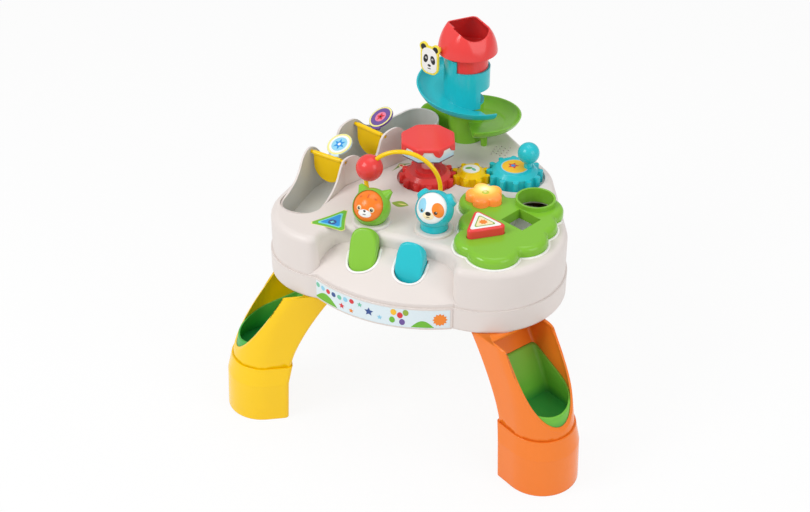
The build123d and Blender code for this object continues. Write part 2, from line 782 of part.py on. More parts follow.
# Upper housing: the deck with its dashboard, wells and pedestals
GREEN_PLANE = key_plane(GREEN_KEY, GREEN_KEY_TURN)
TEAL_PLANE = key_plane(TEAL_KEY, TEAL_KEY_TURN)
outer_shell = housing_body(0)
inner_core = housing_body(WALL)

with BuildPart() as inner_ribs:
    with BuildSketch(TABLE.offset(PARTING_Z)):
        with Locations(*SCREW_POINTS):
            Circle(POST_RADIUS)
    extrude(amount=DECK_Z - PARTING_Z)
    for plane in (GREEN_PLANE, TEAL_PLANE):
        with BuildSketch(plane.offset(-KEY_PIN_RADIUS - WALL)):
            with GridLocations(KEY_WIDTH + 2 * KEY_GAP + EAR_THICK + EAR_SET, 0, 2, 1):
                Rectangle(EAR_THICK, EAR_WIDTH)
        extrude(amount=DECK_Z - PARTING_Z)
    with BuildSketch(TABLE.offset(DECK_Z - WALL - ARCH_SEAT)):
        with Locations(ARCH_LEFT, ARCH_RIGHT):
            Circle(2 * ARCH_ROD)
    extrude(amount=ARCH_SEAT)
    add(outer_shell, mode=Mode.INTERSECT)

ARCH_SPAN = hypot(ARCH_RIGHT[0] - ARCH_LEFT[0], ARCH_RIGHT[1] - ARCH_LEFT[1])
ARCH_RADIUS = (ARCH_SPAN**2 / 4 + ARCH_CREST**2) / (2 * ARCH_CREST)
ARCH_CENTRE_Z = DECK_Z + ARCH_CREST - ARCH_RADIUS
ARCH_X = (ARCH_LEFT[0] + ARCH_RIGHT[0]) / 2
ARCH_Y = (ARCH_LEFT[1] + ARCH_RIGHT[1]) / 2
ARCH_MIDDLE = (ARCH_X, ARCH_Y + CENTRE_Y, ARCH_CENTRE_Z)
ARCH_TURN = degrees(atan2(ARCH_RIGHT[1] - ARCH_LEFT[1], ARCH_RIGHT[0] - ARCH_LEFT[0]))
ARCH_ALONG = (cos(radians(ARCH_TURN)), sin(radians(ARCH_TURN)), 0)
ARCH_AXIS = (sin(radians(ARCH_TURN)), -cos(radians(ARCH_TURN)), 0)
ARCH_PLANE = Plane(origin=ARCH_MIDDLE, x_dir=ARCH_ALONG, z_dir=ARCH_AXIS)


def arch_ring(rod):
    """The whole ring that the arch is part of."""
    with BuildPart() as ring:
        with BuildSketch(Plane(origin=ARCH_MIDDLE, x_dir=ARCH_ALONG, z_dir=(0, 0, 1))):
            with Locations((ARCH_RADIUS, 0)):
                Circle(rod)
        revolve(axis=Axis(ARCH_MIDDLE, ARCH_AXIS))
    return ring.part


def key_slot(plane):
    """The front half of a key's drum, grown by its gap: the slot that it moves in."""
    drum = key_drum(plane, KEY_GAP)
    with BuildPart() as slot:
        add(drum)
        with BuildSketch(plane):
            with Locations((0, KEY_BACK + KEY_GAP + KEY_WIDTH)):
                Rectangle(2 * KEY_WIDTH, 2 * KEY_WIDTH)
        extrude(amount=2 * KEY_RADIUS, both=True, mode=Mode.SUBTRACT)
    return slot.part


KEY_PIN_HALF = KEY_WIDTH / 2 + KEY_GAP + EAR_THICK
green_slot = key_slot(GREEN_PLANE)
teal_slot = key_slot(TEAL_PLANE)
arch_holes = arch_ring(ARCH_ROD + ARCH_PLAY)

with BuildPart() as top_housing:
    add(outer_shell)
    add(inner_core, mode=Mode.SUBTRACT)
    add(inner_ribs.part)
    with BuildSketch(TABLE.offset(DECK_Z - PEDESTAL_SKIRT)):
        with Locations(FOX, DOG):
            Circle(PEDESTAL_RADIUS)
    extrude(amount=PEDESTAL_SKIRT + PEDESTAL_TOP)
    fillet(top_housing.faces().sort_by(Axis.Z)[-2:].edges(), PEDESTAL_ROUND)
    with BuildSketch(TABLE.offset(DECK_Z - WELL_DEPTH - WALL)):
        for place, teeth in GEAR_PLACES:
            with Locations(place):
                Circle(tip_radius(teeth) + WELL_GAP + WALL)
    extrude(amount=WELL_DEPTH)
    with BuildSketch(TABLE.offset(DECK_Z - WELL_DEPTH)):
        for place, teeth in GEAR_PLACES:
            with Locations(place):
                Circle(tip_radius(teeth) + WELL_GAP)
    extrude(amount=2 * WELL_DEPTH, mode=Mode.SUBTRACT)
    with BuildSketch(TABLE.offset(DECK_Z - WELL_DEPTH - PIN_SEAT)):
        for place, teeth in GEAR_PLACES:
            with Locations(place):
                Circle(2 * GEAR_PIN_RADIUS)
    extrude(amount=PIN_SEAT)
    with BuildSketch(TABLE.offset(DECK_Z - WELL_DEPTH - PIN_SEAT)):
        for place, teeth in GEAR_PLACES:
            with Locations(place):
                Circle(GEAR_PIN_RADIUS + PRESS)
    extrude(amount=2 * PIN_SEAT, mode=Mode.SUBTRACT)
    with BuildSketch(TABLE.offset(PARTING_Z)):
        with Locations(FOX, DOG):
            Circle(STEM_RADIUS + FIT)
    extrude(amount=DECK_Z, mode=Mode.SUBTRACT)
    add(green_slot, mode=Mode.SUBTRACT)
    add(teal_slot, mode=Mode.SUBTRACT)
    for plane in (GREEN_PLANE, TEAL_PLANE):
        with BuildSketch(Plane(plane.origin, x_dir=plane.y_dir, z_dir=plane.x_dir)):
            Circle(KEY_PIN_RADIUS + PRESS)
        extrude(amount=KEY_PIN_HALF + FIT, both=True, mode=Mode.SUBTRACT)
    with BuildSketch(TABLE.offset(PARTING_Z)):
        draw_run(TRACK_HALF + TRACK_WALL + FIT, TRACK_POINTS)
    extrude(amount=DECK_Z, mode=Mode.SUBTRACT)
    with BuildSketch(TABLE.offset(DECK_Z - 2 * WALL)):
        draw_bush(-BUSH_SEAT)
    extrude(amount=DECK_Z, mode=Mode.SUBTRACT)
    add(arch_holes, mode=Mode.SUBTRACT)
    with BuildSketch(TABLE.offset(PARTING_Z)):
        with Locations(*SCREW_POINTS):
            Circle(SCREW_RADIUS + PRESS)
    extrude(amount=SCREW_LENGTH - (PARTING_Z - FLOOR_Z - SCREW_SINK), mode=Mode.SUBTRACT)
    with BuildSketch(TABLE.offset(DECK_Z - 2 * WALL)):
        with Locations(TOWER):
            Circle(GREEN_COLUMN - WALL + FIT)
        with Locations(SPEAKER):
            with HexLocations(GRILLE_PITCH, GRILLE_ROWS, GRILLE_ROWS):
                Circle(GRILLE_HOLE)
    extrude(amount=4 * WALL, mode=Mode.SUBTRACT)
save(top_housing.part, "top_housing")

# Legs, their foot boots and the two catch cups
for name, angle in LEG_ANGLES.items():
    shell = hollow_leg(angle)
    slot = leg_opening(angle)
    with BuildPart() as leg:
        add(shell)
        if name != "rear_leg":
            add(slot, mode=Mode.SUBTRACT)
    save(leg.part, name)
    boot_block = leg_loft(angle, BOOT_BODY, 0, 0, BOOT_TOP_Z, True)
    boot_room = leg_loft(angle, BOOT_BODY, WALL, WALL, BOOT_TOP_Z, True)
    with BuildPart() as boot:
        add(boot_block)
        add(boot_room, mode=Mode.SUBTRACT)
    save(boot.part, name.replace("leg", "boot"))
    if name != "rear_leg":
        save(leg_cup(angle), name.replace("leg", "cup"))

# Ball run: a channel with waved walls, a ramp and a basin with a drain
TRACK_LOW = DECK_Z - BASIN_DEPTH - TRACK_WALL


def run_side(lift):
    """Points of the run's floor seen from the side, lifted by a distance."""
    ends = (WAVE[0][0], WAVE[-1][0])
    slope = RAMP_LOW / (RAMP_HEAD - RAMP_FOOT)
    return [
        (ends[0], DECK_Z - BASIN_DEPTH + lift),
        (RAMP_FOOT, DECK_Z - BASIN_DEPTH + lift),
        (RAMP_FOOT, DECK_Z - RAMP_LOW + lift),
        (ends[1], DECK_Z - RAMP_LOW + (ends[1] - RAMP_FOOT) * slope + lift),
    ]


with BuildPart() as run_space:
    with BuildSketch(TABLE.offset(TRACK_LOW)):
        draw_run(TRACK_HALF, TRACK_POINTS)
    extrude(amount=DECK_Z)
    with BuildSketch(SIDE):
        Polygon(*run_side(0), (WAVE[-1][0], 2 * DECK_Z), (WAVE[0][0], 2 * DECK_Z), align=None)
    extrude(amount=2 * BOOT_OUTER, both=True, mode=Mode.INTERSECT)

with BuildPart() as tower_room:
    with BuildSketch(radial_plane(GREEN_SLIDE_ENDS[1] + ROOM_TURN - 180)):
        with Locations(((GREEN_SLIDE_RADIUS + ROOM_GAP) / 2, 0)):
            Rectangle(GREEN_SLIDE_RADIUS + ROOM_GAP, DECK_Z)
    revolve(axis=Axis((TOWER[0], TOWER[1] + CENTRE_Y, 0), (0, 0, 1)), revolution_arc=180)

wall_top = [(y, DECK_Z + rise) for y, rise in WAVE]
with BuildPart() as ball_track:
    with BuildSketch(TABLE.offset(TRACK_LOW)):
        draw_run(TRACK_HALF + TRACK_WALL, TRACK_POINTS)
    extrude(amount=DECK_Z)
    with BuildSketch(SIDE):
        with BuildLine():
            Spline(*wall_top)
            Polyline(wall_top[-1], *reversed(run_side(-TRACK_WALL)), wall_top[0])
        make_face()
    extrude(amount=2 * BOOT_OUTER, both=True, mode=Mode.INTERSECT)
    add(run_space.part, mode=Mode.SUBTRACT)
    add(tower_room.part, mode=Mode.SUBTRACT)
    with BuildSketch(TABLE.offset(TRACK_LOW)):
        with Locations(DRAIN_POINT):
            Circle(DRAIN_RADIUS)
    extrude(amount=2 * TRACK_WALL, mode=Mode.SUBTRACT)
    for name, point in FLAP_POINT.items():
        pivot = turned(TRACK_POINTS[point], DECK_Z + FLAP_PIVOT_Z[name], FLAP_TURN[name])
        with BuildSketch(Plane(pivot.origin, x_dir=pivot.y_dir, z_dir=pivot.x_dir)):
            Circle(FLAP_PIN_RADIUS + RUN)
        extrude(amount=2 * TRACK_HALF, both=True, mode=Mode.SUBTRACT)
save(ball_track.part, "ball_track")

TUBE_FOOT = polar((0, 0), (SPIGOT_INNER + SPIGOT_OUTER) / 2, LEG_ANGLES["yellow_leg"])
with BuildPart() as tube_bore:
    with BuildSketch(turned(DRAIN_POINT, TRACK_LOW, 0)):
        Circle(DRAIN_RADIUS)
    with BuildSketch(turned(TUBE_FOOT, FLOOR_Z + SPIGOT_HEIGHT, 0)):
        Circle(DROP_RADIUS)
    loft()

with BuildPart() as ball_drop_tube:
    with BuildSketch(turned(DRAIN_POINT, TRACK_LOW, 0)):
        Circle(DRAIN_RADIUS + TUBE_WALL)
    with BuildSketch(turned(TUBE_FOOT, FLOOR_Z + SPIGOT_HEIGHT, 0)):
        Circle(DROP_RADIUS + TUBE_WALL)
    loft()
    add(tube_bore.part, mode=Mode.SUBTRACT)
save(ball_drop_tube.part, "ball_drop_tube")

# Swinging flaps with their medallions
for name, point in FLAP_POINT.items():
    pivot = turned(TRACK_POINTS[point], DECK_Z + FLAP_PIVOT_Z[name], FLAP_TURN[name])
    upright = Plane(pivot.origin, x_dir=pivot.x_dir, z_dir=-pivot.y_dir)
    across = Plane(pivot.origin, x_dir=pivot.y_dir, z_dir=pivot.x_dir)
    with BuildPart() as flap:
        with BuildSketch(across):
            Circle(FLAP_BAR / 2)
        extrude(amount=FLAP_WIDTH / 2, both=True)
        with BuildSketch(across):
            Circle(FLAP_PIN_RADIUS)
        extrude(amount=TRACK_HALF + TRACK_WALL - FLAP_PIN_SET, both=True)
        with BuildSketch(upright):
            with Locations((0, FLAP_WIDTH / 2 - FLAP_LENGTH)):
                Circle(FLAP_WIDTH / 2)
            with Locations((0, (FLAP_WIDTH / 2 - FLAP_LENGTH) / 2)):
                Rectangle(FLAP_WIDTH, FLAP_LENGTH - FLAP_WIDTH / 2)
            with Locations((0, FLAP_LENGTH)):
                Rectangle(2 * FLAP_WIDTH, 2 * FLAP_LENGTH, mode=Mode.SUBTRACT)
        extrude(amount=FLAP_THICK / 2, both=True)
    save(flap.part, name)
    lean = upright.rotated((-MEDALLION_LEAN, 0, 0))
    with BuildPart() as medallion:
        with BuildSketch(lean):
            with Locations((MEDALLION_SHIFT, MEDALLION_RADIUS + FLAP_BAR / 2)):
                Circle(MEDALLION_RADIUS)
            with Locations((MEDALLION_SHIFT, FLAP_BAR)):
                Rectangle(2 * FLAP_BAR, 2 * FLAP_BAR)
        extrude(amount=MEDALLION_THICK / 2, both=True)
        with BuildSketch(across):
            Circle(FLAP_BAR / 2)
        extrude(amount=FLAP_WIDTH, both=True, mode=Mode.SUBTRACT)
    save(medallion.part, name.replace("flap", "medallion"))

# Gear train and the carousel on the red gear
YELLOW_PITCH = 360 / YELLOW_TEETH
BLUE_PITCH = 360 / BLUE_TEETH
YELLOW_PHASE = RED_TO_YELLOW + 180 + YELLOW_PITCH / 2
YELLOW_LAG = (YELLOW_TO_BLUE - YELLOW_PHASE) % YELLOW_PITCH
BLUE_PHASE = YELLOW_TO_BLUE + 180 + YELLOW_LAG * YELLOW_TEETH / BLUE_TEETH + BLUE_PITCH / 2
save(gear_blank(RED_GEAR, RED_TEETH, RED_TO_YELLOW, GEAR_TOP), "carousel_gear")
save(gear_blank(YELLOW_GEAR, YELLOW_TEETH, YELLOW_PHASE, GEAR_TOP), "idler_gear")
save(gear_blank(BLUE_GEAR, BLUE_TEETH, BLUE_PHASE, BLUE_GEAR_TOP), "crank_gear")

with BuildPart() as gear_pins:
    with BuildSketch(TABLE.offset(DECK_Z - WELL_DEPTH - PIN_SEAT)):
        with Locations(*[place for place, teeth in GEAR_PLACES]):
            Circle(GEAR_PIN_RADIUS)
    extrude(amount=PIN_SEAT + WELL_DEPTH + GEAR_TOP - 2 * WALL)
save(gear_pins.part, "gear_pins")

KNOB_PLACE = polar(BLUE_GEAR, KNOB_REACH, KNOB_ANGLE)
with BuildPart() as crank_knob:
    with BuildSketch(turned(KNOB_PLACE, DECK_Z + BLUE_GEAR_TOP, 0)):
        Circle(KNOB_STEM)
    extrude(amount=KNOB_Z - BLUE_GEAR_TOP)
    with Locations((KNOB_PLACE[0], KNOB_PLACE[1] + CENTRE_Y, DECK_Z + KNOB_Z)):
        Sphere(KNOB_RADIUS)
save(crank_knob.part, "crank_knob")

with BuildPart() as carousel_column:
    with BuildSketch(turned(RED_GEAR, DECK_Z + GEAR_TOP, 0)):
        Circle(2 * COLUMN_RADIUS)
    extrude(amount=WALL)
    with BuildSketch(turned(RED_GEAR, DECK_Z + GEAR_TOP, 0)):
        Circle(COLUMN_RADIUS)
    extrude(amount=CANOPY_LOW - GEAR_TOP)
save(carousel_column.part, "carousel_column")

with BuildPart() as canopy_band:
    with BuildSketch(turned(RED_GEAR, DECK_Z + CANOPY_LOW, 0)):
        RegularPolygon(CANOPY_RADIUS - SKIRT_THICK, CANOPY_SIDES)
    extrude(amount=CANOPY_BAND)
save(canopy_band.part, "canopy_band")

# Canopy top: a dome with a round drop over each corner of the band
CANOPY_EAVES = DECK_Z + CANOPY_LOW + CANOPY_BAND
with BuildPart() as canopy_drops:
    for corner in range(CANOPY_SIDES):
        angle = 360 * corner / CANOPY_SIDES
        out = (cos(radians(angle)), sin(radians(angle)), 0)
        centre = (RED_GEAR[0], RED_GEAR[1] + CENTRE_Y, CANOPY_EAVES)
        with BuildSketch(Plane(origin=centre, x_dir=(0, 0, 1), z_dir=out)):
            Circle(DROP_LOBE)
        extrude(amount=CANOPY_RADIUS)
    with BuildSketch(turned(RED_GEAR, CANOPY_EAVES - CANOPY_BAND, 0)):
        RegularPolygon(CANOPY_RADIUS, CANOPY_SIDES)
        RegularPolygon(CANOPY_RADIUS - SKIRT_THICK, CANOPY_SIDES, mode=Mode.SUBTRACT)
    extrude(amount=CANOPY_BAND, mode=Mode.INTERSECT)

with BuildPart() as canopy_top:
    with BuildSketch(turned(RED_GEAR, CANOPY_EAVES, 0)):
        RegularPolygon(CANOPY_RADIUS, CANOPY_SIDES)
    extrude(amount=CANOPY_CROWN)
    with BuildSketch(turned(RED_GEAR, CANOPY_EAVES, 0)):
        Circle(CANOPY_RADIUS - SKIRT_THICK / 2)
    extrude(amount=CANOPY_CROWN, mode=Mode.INTERSECT)
    fillet(canopy_top.faces().sort_by(Axis.Z)[-1].edges(), CANOPY_CROWN - SKIRT_THICK)
    add(canopy_drops.part)
save(canopy_top.part, "canopy_top")

# Bead arch and its sliding bead
whole_ring = arch_ring(ARCH_ROD)
with BuildPart() as bead_arch:
    add(whole_ring)
    with BuildSketch(TABLE.offset(DECK_Z - ARCH_SEAT)):
        Rectangle(4 * BOOT_OUTER, 4 * BOOT_OUTER)
    extrude(amount=DECK_Z, mode=Mode.INTERSECT)
save(bead_arch.part, "bead_arch")

bead_bore = arch_ring(ARCH_ROD + FIT)
BEAD_AT = ARCH_PLANE.from_local_coords(polar((0, 0), ARCH_RADIUS, BEAD_ANGLE) + (0,))
with BuildPart() as bead:
    with Locations(BEAD_AT):
        Sphere(BEAD_RADIUS, rotation=BEAD_SEAM)
    add(bead_bore, mode=Mode.SUBTRACT)
save(bead.part, "bead")


# Pop-up heads with their face inserts
HEAD_LIFT = KEY_ARM * radians(KEY_SWING)


def face_plane(place, lift):
    """Plane through a head's middle, looking the way its face does."""
    look = (0, -cos(radians(FACE_TILT)), sin(radians(FACE_TILT)))
    middle = (place[0], place[1] + CENTRE_Y, DECK_Z + HEAD_Z + lift)
    return Plane(origin=middle, x_dir=(1, 0, 0), z_dir=look)


def head_hood(place, stem_low, lift, ear, ear_angle):
    """A round hood with two ears, on the stem that runs down to the key's arm."""
    middle = face_plane(place, lift)
    with BuildPart() as hood:
        with Locations(middle.origin):
            Sphere(HEAD_RADIUS)
        with BuildSketch(turned(place, stem_low, 0)):
            Circle(STEM_RADIUS)
        extrude(amount=middle.origin.Z - stem_low)
        for side in (90 - ear_angle, 90 + ear_angle):
            along = middle.x_dir * cos(radians(side)) + middle.y_dir * sin(radians(side))
            with Locations(Plane(origin=middle.origin + along * EAR_START, z_dir=along)):
                Cone(*ear, align=(Align.CENTER, Align.CENTER, Align.MIN))
        with BuildSketch(middle.offset(FACE_SET)):
            Circle(FACE_RADIUS + FIT / 2)
        extrude(amount=HEAD_RADIUS, mode=Mode.SUBTRACT)
    return hood.part


def head_face(place, lift):
    """The domed face that is set into the hood."""
    middle = face_plane(place, lift)
    with BuildPart() as insert:
        with Locations(middle.origin):
            Sphere(HEAD_RADIUS - FACE_DROP)
        with BuildSketch(middle.offset(FACE_SET)):
            Circle(FACE_RADIUS)
        extrude(amount=HEAD_RADIUS, mode=Mode.INTERSECT)
    return insert.part


FOX_LOW = GREEN_PLANE.origin.Z + ARM_TOP + RUN
DOG_LOW = TEAL_PLANE.origin.Z + ARM_TOP + RUN + HEAD_LIFT
save(head_hood(FOX, FOX_LOW, 0, FOX_EAR, FOX_EAR_ANGLE), "fox_hood")
save(head_face(FOX, 0), "fox_face")
save(head_hood(DOG, DOG_LOW, HEAD_LIFT, DOG_EAR, DOG_EAR_ANGLE), "dog_hood")
save(head_face(DOG, HEAD_LIFT), "dog_face")

# Rocker keys: the green one at rest, the teal one pressed
save(rocker_key(GREEN_PLANE), "green_key")
teal_key = rocker_key(TEAL_PLANE).rotate(Axis(TEAL_PLANE.origin, TEAL_PLANE.x_dir), KEY_SWING)
save(teal_key, "teal_key")

with BuildPart() as key_pins:
    for plane in (GREEN_PLANE, TEAL_PLANE):
        with BuildSketch(Plane(plane.origin, x_dir=plane.y_dir, z_dir=plane.x_dir)):
            Circle(KEY_PIN_RADIUS)
        extrude(amount=KEY_PIN_HALF, both=True)
save(key_pins.part, "key_pins")


def draw_flower(grow):
    """Draws the flower button's outline, grown by a distance."""
    with Locations(FLOWER):
        Circle(PETAL_REACH + grow)
        with PolarLocations(PETAL_REACH, FLOWER_PETALS, start_angle=FLOWER_TURN):
            Circle(PETAL_RADIUS + grow)


def draw_triangle(sketch, grow):
    """Draws the triangle button's outline, grown by a distance."""
    Polygon(*triangle_points(TRIANGLE_RADIUS + 2 * grow), align=None)
    fillet(sketch.vertices(), TRIANGLE_CORNER + grow)


# Bush panel over the deck's opening: sorter holes and two buttons
with BuildPart() as bush_panel:
    with BuildSketch(TABLE.offset(DECK_Z)):
        draw_bush(0)
    extrude(amount=BUSH_TOP)
    fillet(bush_panel.faces().sort_by(Axis.Z)[-1].edges(), BUSH_ROUND)
    with BuildSketch(TABLE.offset(DECK_Z)):
        draw_bush(-BUSH_SIDE_WALL)
    extrude(amount=BUSH_TOP - WALL, mode=Mode.SUBTRACT)
    with BuildSketch(TABLE.offset(DECK_Z)):
        with Locations(ROUND_HOLE):
            Circle(ROUND_HOLE_RADIUS + WALL)
    extrude(amount=ROUND_HOLE_TOP)
    with BuildSketch(TABLE.offset(DECK_Z)):
        with Locations(SQUARE_HOLE):
            Rectangle(SQUARE_SIDE + 2 * WALL, SQUARE_SIDE + 2 * WALL, rotation=SQUARE_TURN)
    extrude(amount=BUSH_TOP - WALL / 2)
    with BuildSketch(TABLE.offset(DECK_Z)):
        with Locations(ROUND_HOLE):
            Circle(ROUND_HOLE_RADIUS)
        with Locations(SQUARE_HOLE):
            Rectangle(SQUARE_SIDE, SQUARE_SIDE, rotation=SQUARE_TURN)
        draw_flower(BUTTON_GAP)
    extrude(amount=2 * ROUND_HOLE_TOP, mode=Mode.SUBTRACT)
    with BuildSketch(TABLE.offset(DECK_Z)) as window:
        draw_triangle(window, BUTTON_GAP)
    extrude(amount=2 * ROUND_HOLE_TOP, mode=Mode.SUBTRACT)
save(bush_panel.part, "bush_panel")

FLANGE_TOP = DECK_Z + BUSH_TOP - WALL - RUN
CONTACT_TOP = BOARD_Z + BOARD_THICK + CONTACT_HEIGHT
FLOWER_TIP = CONTACT_TOP + FLOWER_TRAVEL + BUTTON_GAP
TRIANGLE_TIP = CONTACT_TOP + TRIANGLE_TRAVEL + BUTTON_GAP

with BuildPart() as flower_button:
    with BuildSketch(TABLE.offset(FLANGE_TOP - BUTTON_FLANGE)):
        draw_flower(0)
    extrude(amount=DECK_Z + FLOWER_TOP - FLANGE_TOP + BUTTON_FLANGE)
    fillet(flower_button.faces().sort_by(Axis.Z)[-1].edges(), FLOWER_ROUND)
    with BuildSketch(TABLE.offset(FLANGE_TOP - BUTTON_FLANGE)):
        draw_flower(BUTTON_LIP)
    extrude(amount=BUTTON_FLANGE)
    with BuildSketch(turned(FLOWER, FLOWER_TIP, 0)):
        Circle(PLUNGER_RADIUS)
    extrude(amount=FLANGE_TOP - FLOWER_TIP)
save(flower_button.part, "flower_button")

with BuildPart() as triangle_button:
    with BuildSketch(TABLE.offset(FLANGE_TOP - BUTTON_FLANGE)) as pad:
        draw_triangle(pad, 0)
    extrude(amount=DECK_Z + TRIANGLE_TOP - FLANGE_TOP + BUTTON_FLANGE)
    fillet(triangle_button.faces().sort_by(Axis.Z)[-1].edges(), TRIANGLE_ROUND)
    with BuildSketch(TABLE.offset(FLANGE_TOP - BUTTON_FLANGE)) as flange:
        draw_triangle(flange, BUTTON_LIP)
    extrude(amount=BUTTON_FLANGE)
    with BuildSketch(turned(TRIANGLE, TRIANGLE_TIP, 0)):
        Circle(PLUNGER_RADIUS)
    extrude(amount=FLANGE_TOP - TRIANGLE_TIP)
save(triangle_button.part, "triangle_button")


def chute_block(inset):
    """The chute's block under the sorter holes, drawn in by a wall."""
    low = DECK_Z + CHUTE_LOW + inset - CHUTE_WALL
    high = DECK_Z + CHUTE_HIGH + inset - CHUTE_WALL
    top = DECK_Z + CHUTE_TOP + inset
    profile = [
        (CHUTE_BACK - inset, top),
        (CHUTE_BACK - inset, high),
        (CHUTE_FOOT, low),
        (CHUTE_FRONT + inset, low),
        (CHUTE_FRONT + inset, top),
    ]
    plan = housing_plan(-WALL - CHUTE_PLAY - inset)
    with BuildPart() as block:
        with BuildSketch(SIDE.offset(CHUTE_LEFT + inset)):
            Polygon(*profile, align=None)
        extrude(amount=CHUTE_RIGHT - CHUTE_LEFT - 2 * inset)
        with BuildSketch(TABLE.offset(PARTING_Z - DECK_Z)):
            add(plan)
        extrude(amount=2 * DECK_Z, mode=Mode.INTERSECT)
    return block.part


# Chute that leads the sorted shapes into the orange leg
chute_outer = chute_block(0)
chute_inner = chute_block(CHUTE_WALL)
with BuildPart() as sorter_chute:
    add(chute_outer)
    add(chute_inner, mode=Mode.SUBTRACT)
    with BuildSketch(turned((0, 0), FLOOR_Z, LEG_ANGLES["orange_leg"])) as outlet:
        draw_spigot(outlet, -WALL - CHUTE_PLAY)
    extrude(amount=DECK_Z + CHUTE_LOW + CHUTE_PLAY - FLOOR_Z, mode=Mode.SUBTRACT)
save(sorter_chute.part, "sorter_chute")

# Electronics inside the housing
with BuildPart() as circuit_board:
    with BuildSketch(turned(BOARD_CENTRE, BOARD_Z, 0)):
        Rectangle(BOARD_WIDTH, BOARD_LENGTH)
    extrude(amount=BOARD_THICK)
save(circuit_board.part, "circuit_board")

with BuildPart() as button_contacts:
    with BuildSketch(TABLE.offset(BOARD_Z + BOARD_THICK)):
        with Locations(FLOWER, TRIANGLE):
            Rectangle(CONTACT_SIZE, CONTACT_SIZE)
    extrude(amount=CONTACT_HEIGHT)
save(button_contacts.part, "button_contacts")

with BuildPart() as flower_lamp:
    with BuildSketch(turned((FLOWER[0] + 2 * CONTACT_SIZE, FLOWER[1]), BOARD_Z + BOARD_THICK, 0)):
        Circle(CONTACT_SIZE / 2)
    extrude(amount=2 * CONTACT_SIZE)
    fillet(flower_lamp.faces().sort_by(Axis.Z)[-1].edges(), CONTACT_SIZE / 2 - 0.2)
save(flower_lamp.part, "flower_lamp")

with BuildPart() as speaker:
    with BuildSketch(turned(SPEAKER, DECK_Z - WALL - SPEAKER_HEIGHT, 0)):
        Circle(SPEAKER_RADIUS * 0.6)
    with BuildSketch(turned(SPEAKER, DECK_Z - 2 * WALL, 0)):
        Circle(SPEAKER_RADIUS)
    loft()
    with BuildSketch(turned(SPEAKER, DECK_Z - 2 * WALL, 0)):
        Circle(SPEAKER_RADIUS)
        Circle(SPEAKER_RADIUS - WALL, mode=Mode.SUBTRACT)
    extrude(amount=WALL)
save(speaker.part, "speaker")

BATTERY_Z = FLOOR_Z + COVER_THICK + BATTERY_RADIUS + RUN
with BuildPart() as batteries:
    with BuildSketch(SIDE.offset(BAY_CENTRE[0])):
        for row in (-1, 0, 1):
            with Locations((BAY_CENTRE[1] + row * BATTERY_PITCH, BATTERY_Z)):
                Circle(BATTERY_RADIUS)
    extrude(amount=BATTERY_LENGTH / 2, both=True)
save(batteries.part, "batteries")

CONTACT_PLATE = (BAY_LENGTH - BATTERY_LENGTH) / 2 - 2 * 0.1
with BuildPart() as battery_contacts:
    with BuildSketch(TABLE.offset(FLOOR_Z + COVER_THICK + RUN)):
        with Locations(BAY_CENTRE):
            with GridLocations(BATTERY_LENGTH + CONTACT_PLATE + 2 * 0.1, 0, 2, 1):
                Rectangle(CONTACT_PLATE, 3 * BATTERY_PITCH)
    extrude(amount=2 * BATTERY_RADIUS)
save(battery_contacts.part, "battery_contacts")

with BuildPart() as battery_cover:
    with BuildSketch(TABLE.offset(FLOOR_Z)):
        with Locations(BAY_CENTRE):
            Rectangle(BAY_LENGTH + 2 * COVER_LAP - 2 * FIT, BAY_WIDTH + 2 * COVER_LAP - 2 * FIT)
        with Locations(COVER_SCREW):
            Circle(COVER_TAB - FIT)
            Circle(SCREW_RADIUS + FIT, mode=Mode.SUBTRACT)
    extrude(amount=COVER_THICK)
save(battery_cover.part, "battery_cover")

with BuildPart() as cover_screw:
    with BuildSketch(turned(COVER_SCREW, FLOOR_Z - SCREW_SINK / 2, 0)):
        Circle(SCREW_HEAD)
    extrude(amount=SCREW_SINK / 2)
    with BuildSketch(turned(COVER_SCREW, FLOOR_Z, 0)):
        Circle(SCREW_RADIUS)
    extrude(amount=COVER_POST - WALL)
save(cover_screw.part, "cover_screw")

with BuildPart() as housing_screws:
    with BuildSketch(TABLE.offset(FLOOR_Z + SCREW_SINK)):
        with Locations(*SCREW_POINTS):
            Circle(SCREW_HEAD)
    extrude(amount=-SCREW_SINK / 2)
    with BuildSketch(TABLE.offset(FLOOR_Z + SCREW_SINK)):
        with Locations(*SCREW_POINTS):
            Circle(SCREW_RADIUS)
    extrude(amount=SCREW_LENGTH - 1)
save(housing_screws.part, "housing_screws")

with BuildPart() as power_switch:
    with BuildSketch(turned(SWITCH_POINT, FLOOR_Z - SCREW_SINK / 2, 0)):
        Rectangle(SWITCH_WIDTH, SWITCH_LENGTH)
    extrude(amount=SCREW_SINK / 2 + WALL + RUN)
    with BuildSketch(turned(SWITCH_POINT, FLOOR_Z + WALL + RUN, 0)):
        Rectangle(2 * SWITCH_WIDTH, SWITCH_LENGTH + 2 * SWITCH_TRAVEL + 2)
    extrude(amount=WALL)
save(power_switch.part, "power_switch")

# Slide tower: green lower slide, blue upper slide, roof funnel and badge
TOWER_AXIS = Axis((TOWER[0], TOWER[1] + CENTRE_Y, 0), (0, 0, 1))


def tower_disc(radius, bore, low, high):
    """A ring on the tower's axis between two heights above the deck."""
    with BuildPart() as ring:
        with BuildSketch(turned(TOWER, DECK_Z + low, 0)):
            Circle(radius)
            Circle(bore, mode=Mode.SUBTRACT)
        extrude(amount=high - low)
    return ring.part


def tower_sector(ends, inner, outer, low, high):
    """A part ring on the tower's axis between two angles."""
    with BuildPart() as sector:
        with BuildSketch(radial_plane(ends[0])):
            with Locations(((inner + outer) / 2, (low + high) / 2)):
                Rectangle(outer - inner, high - low)
        revolve(axis=TOWER_AXIS, revolution_arc=ends[1] - ends[0])
    return sector.part


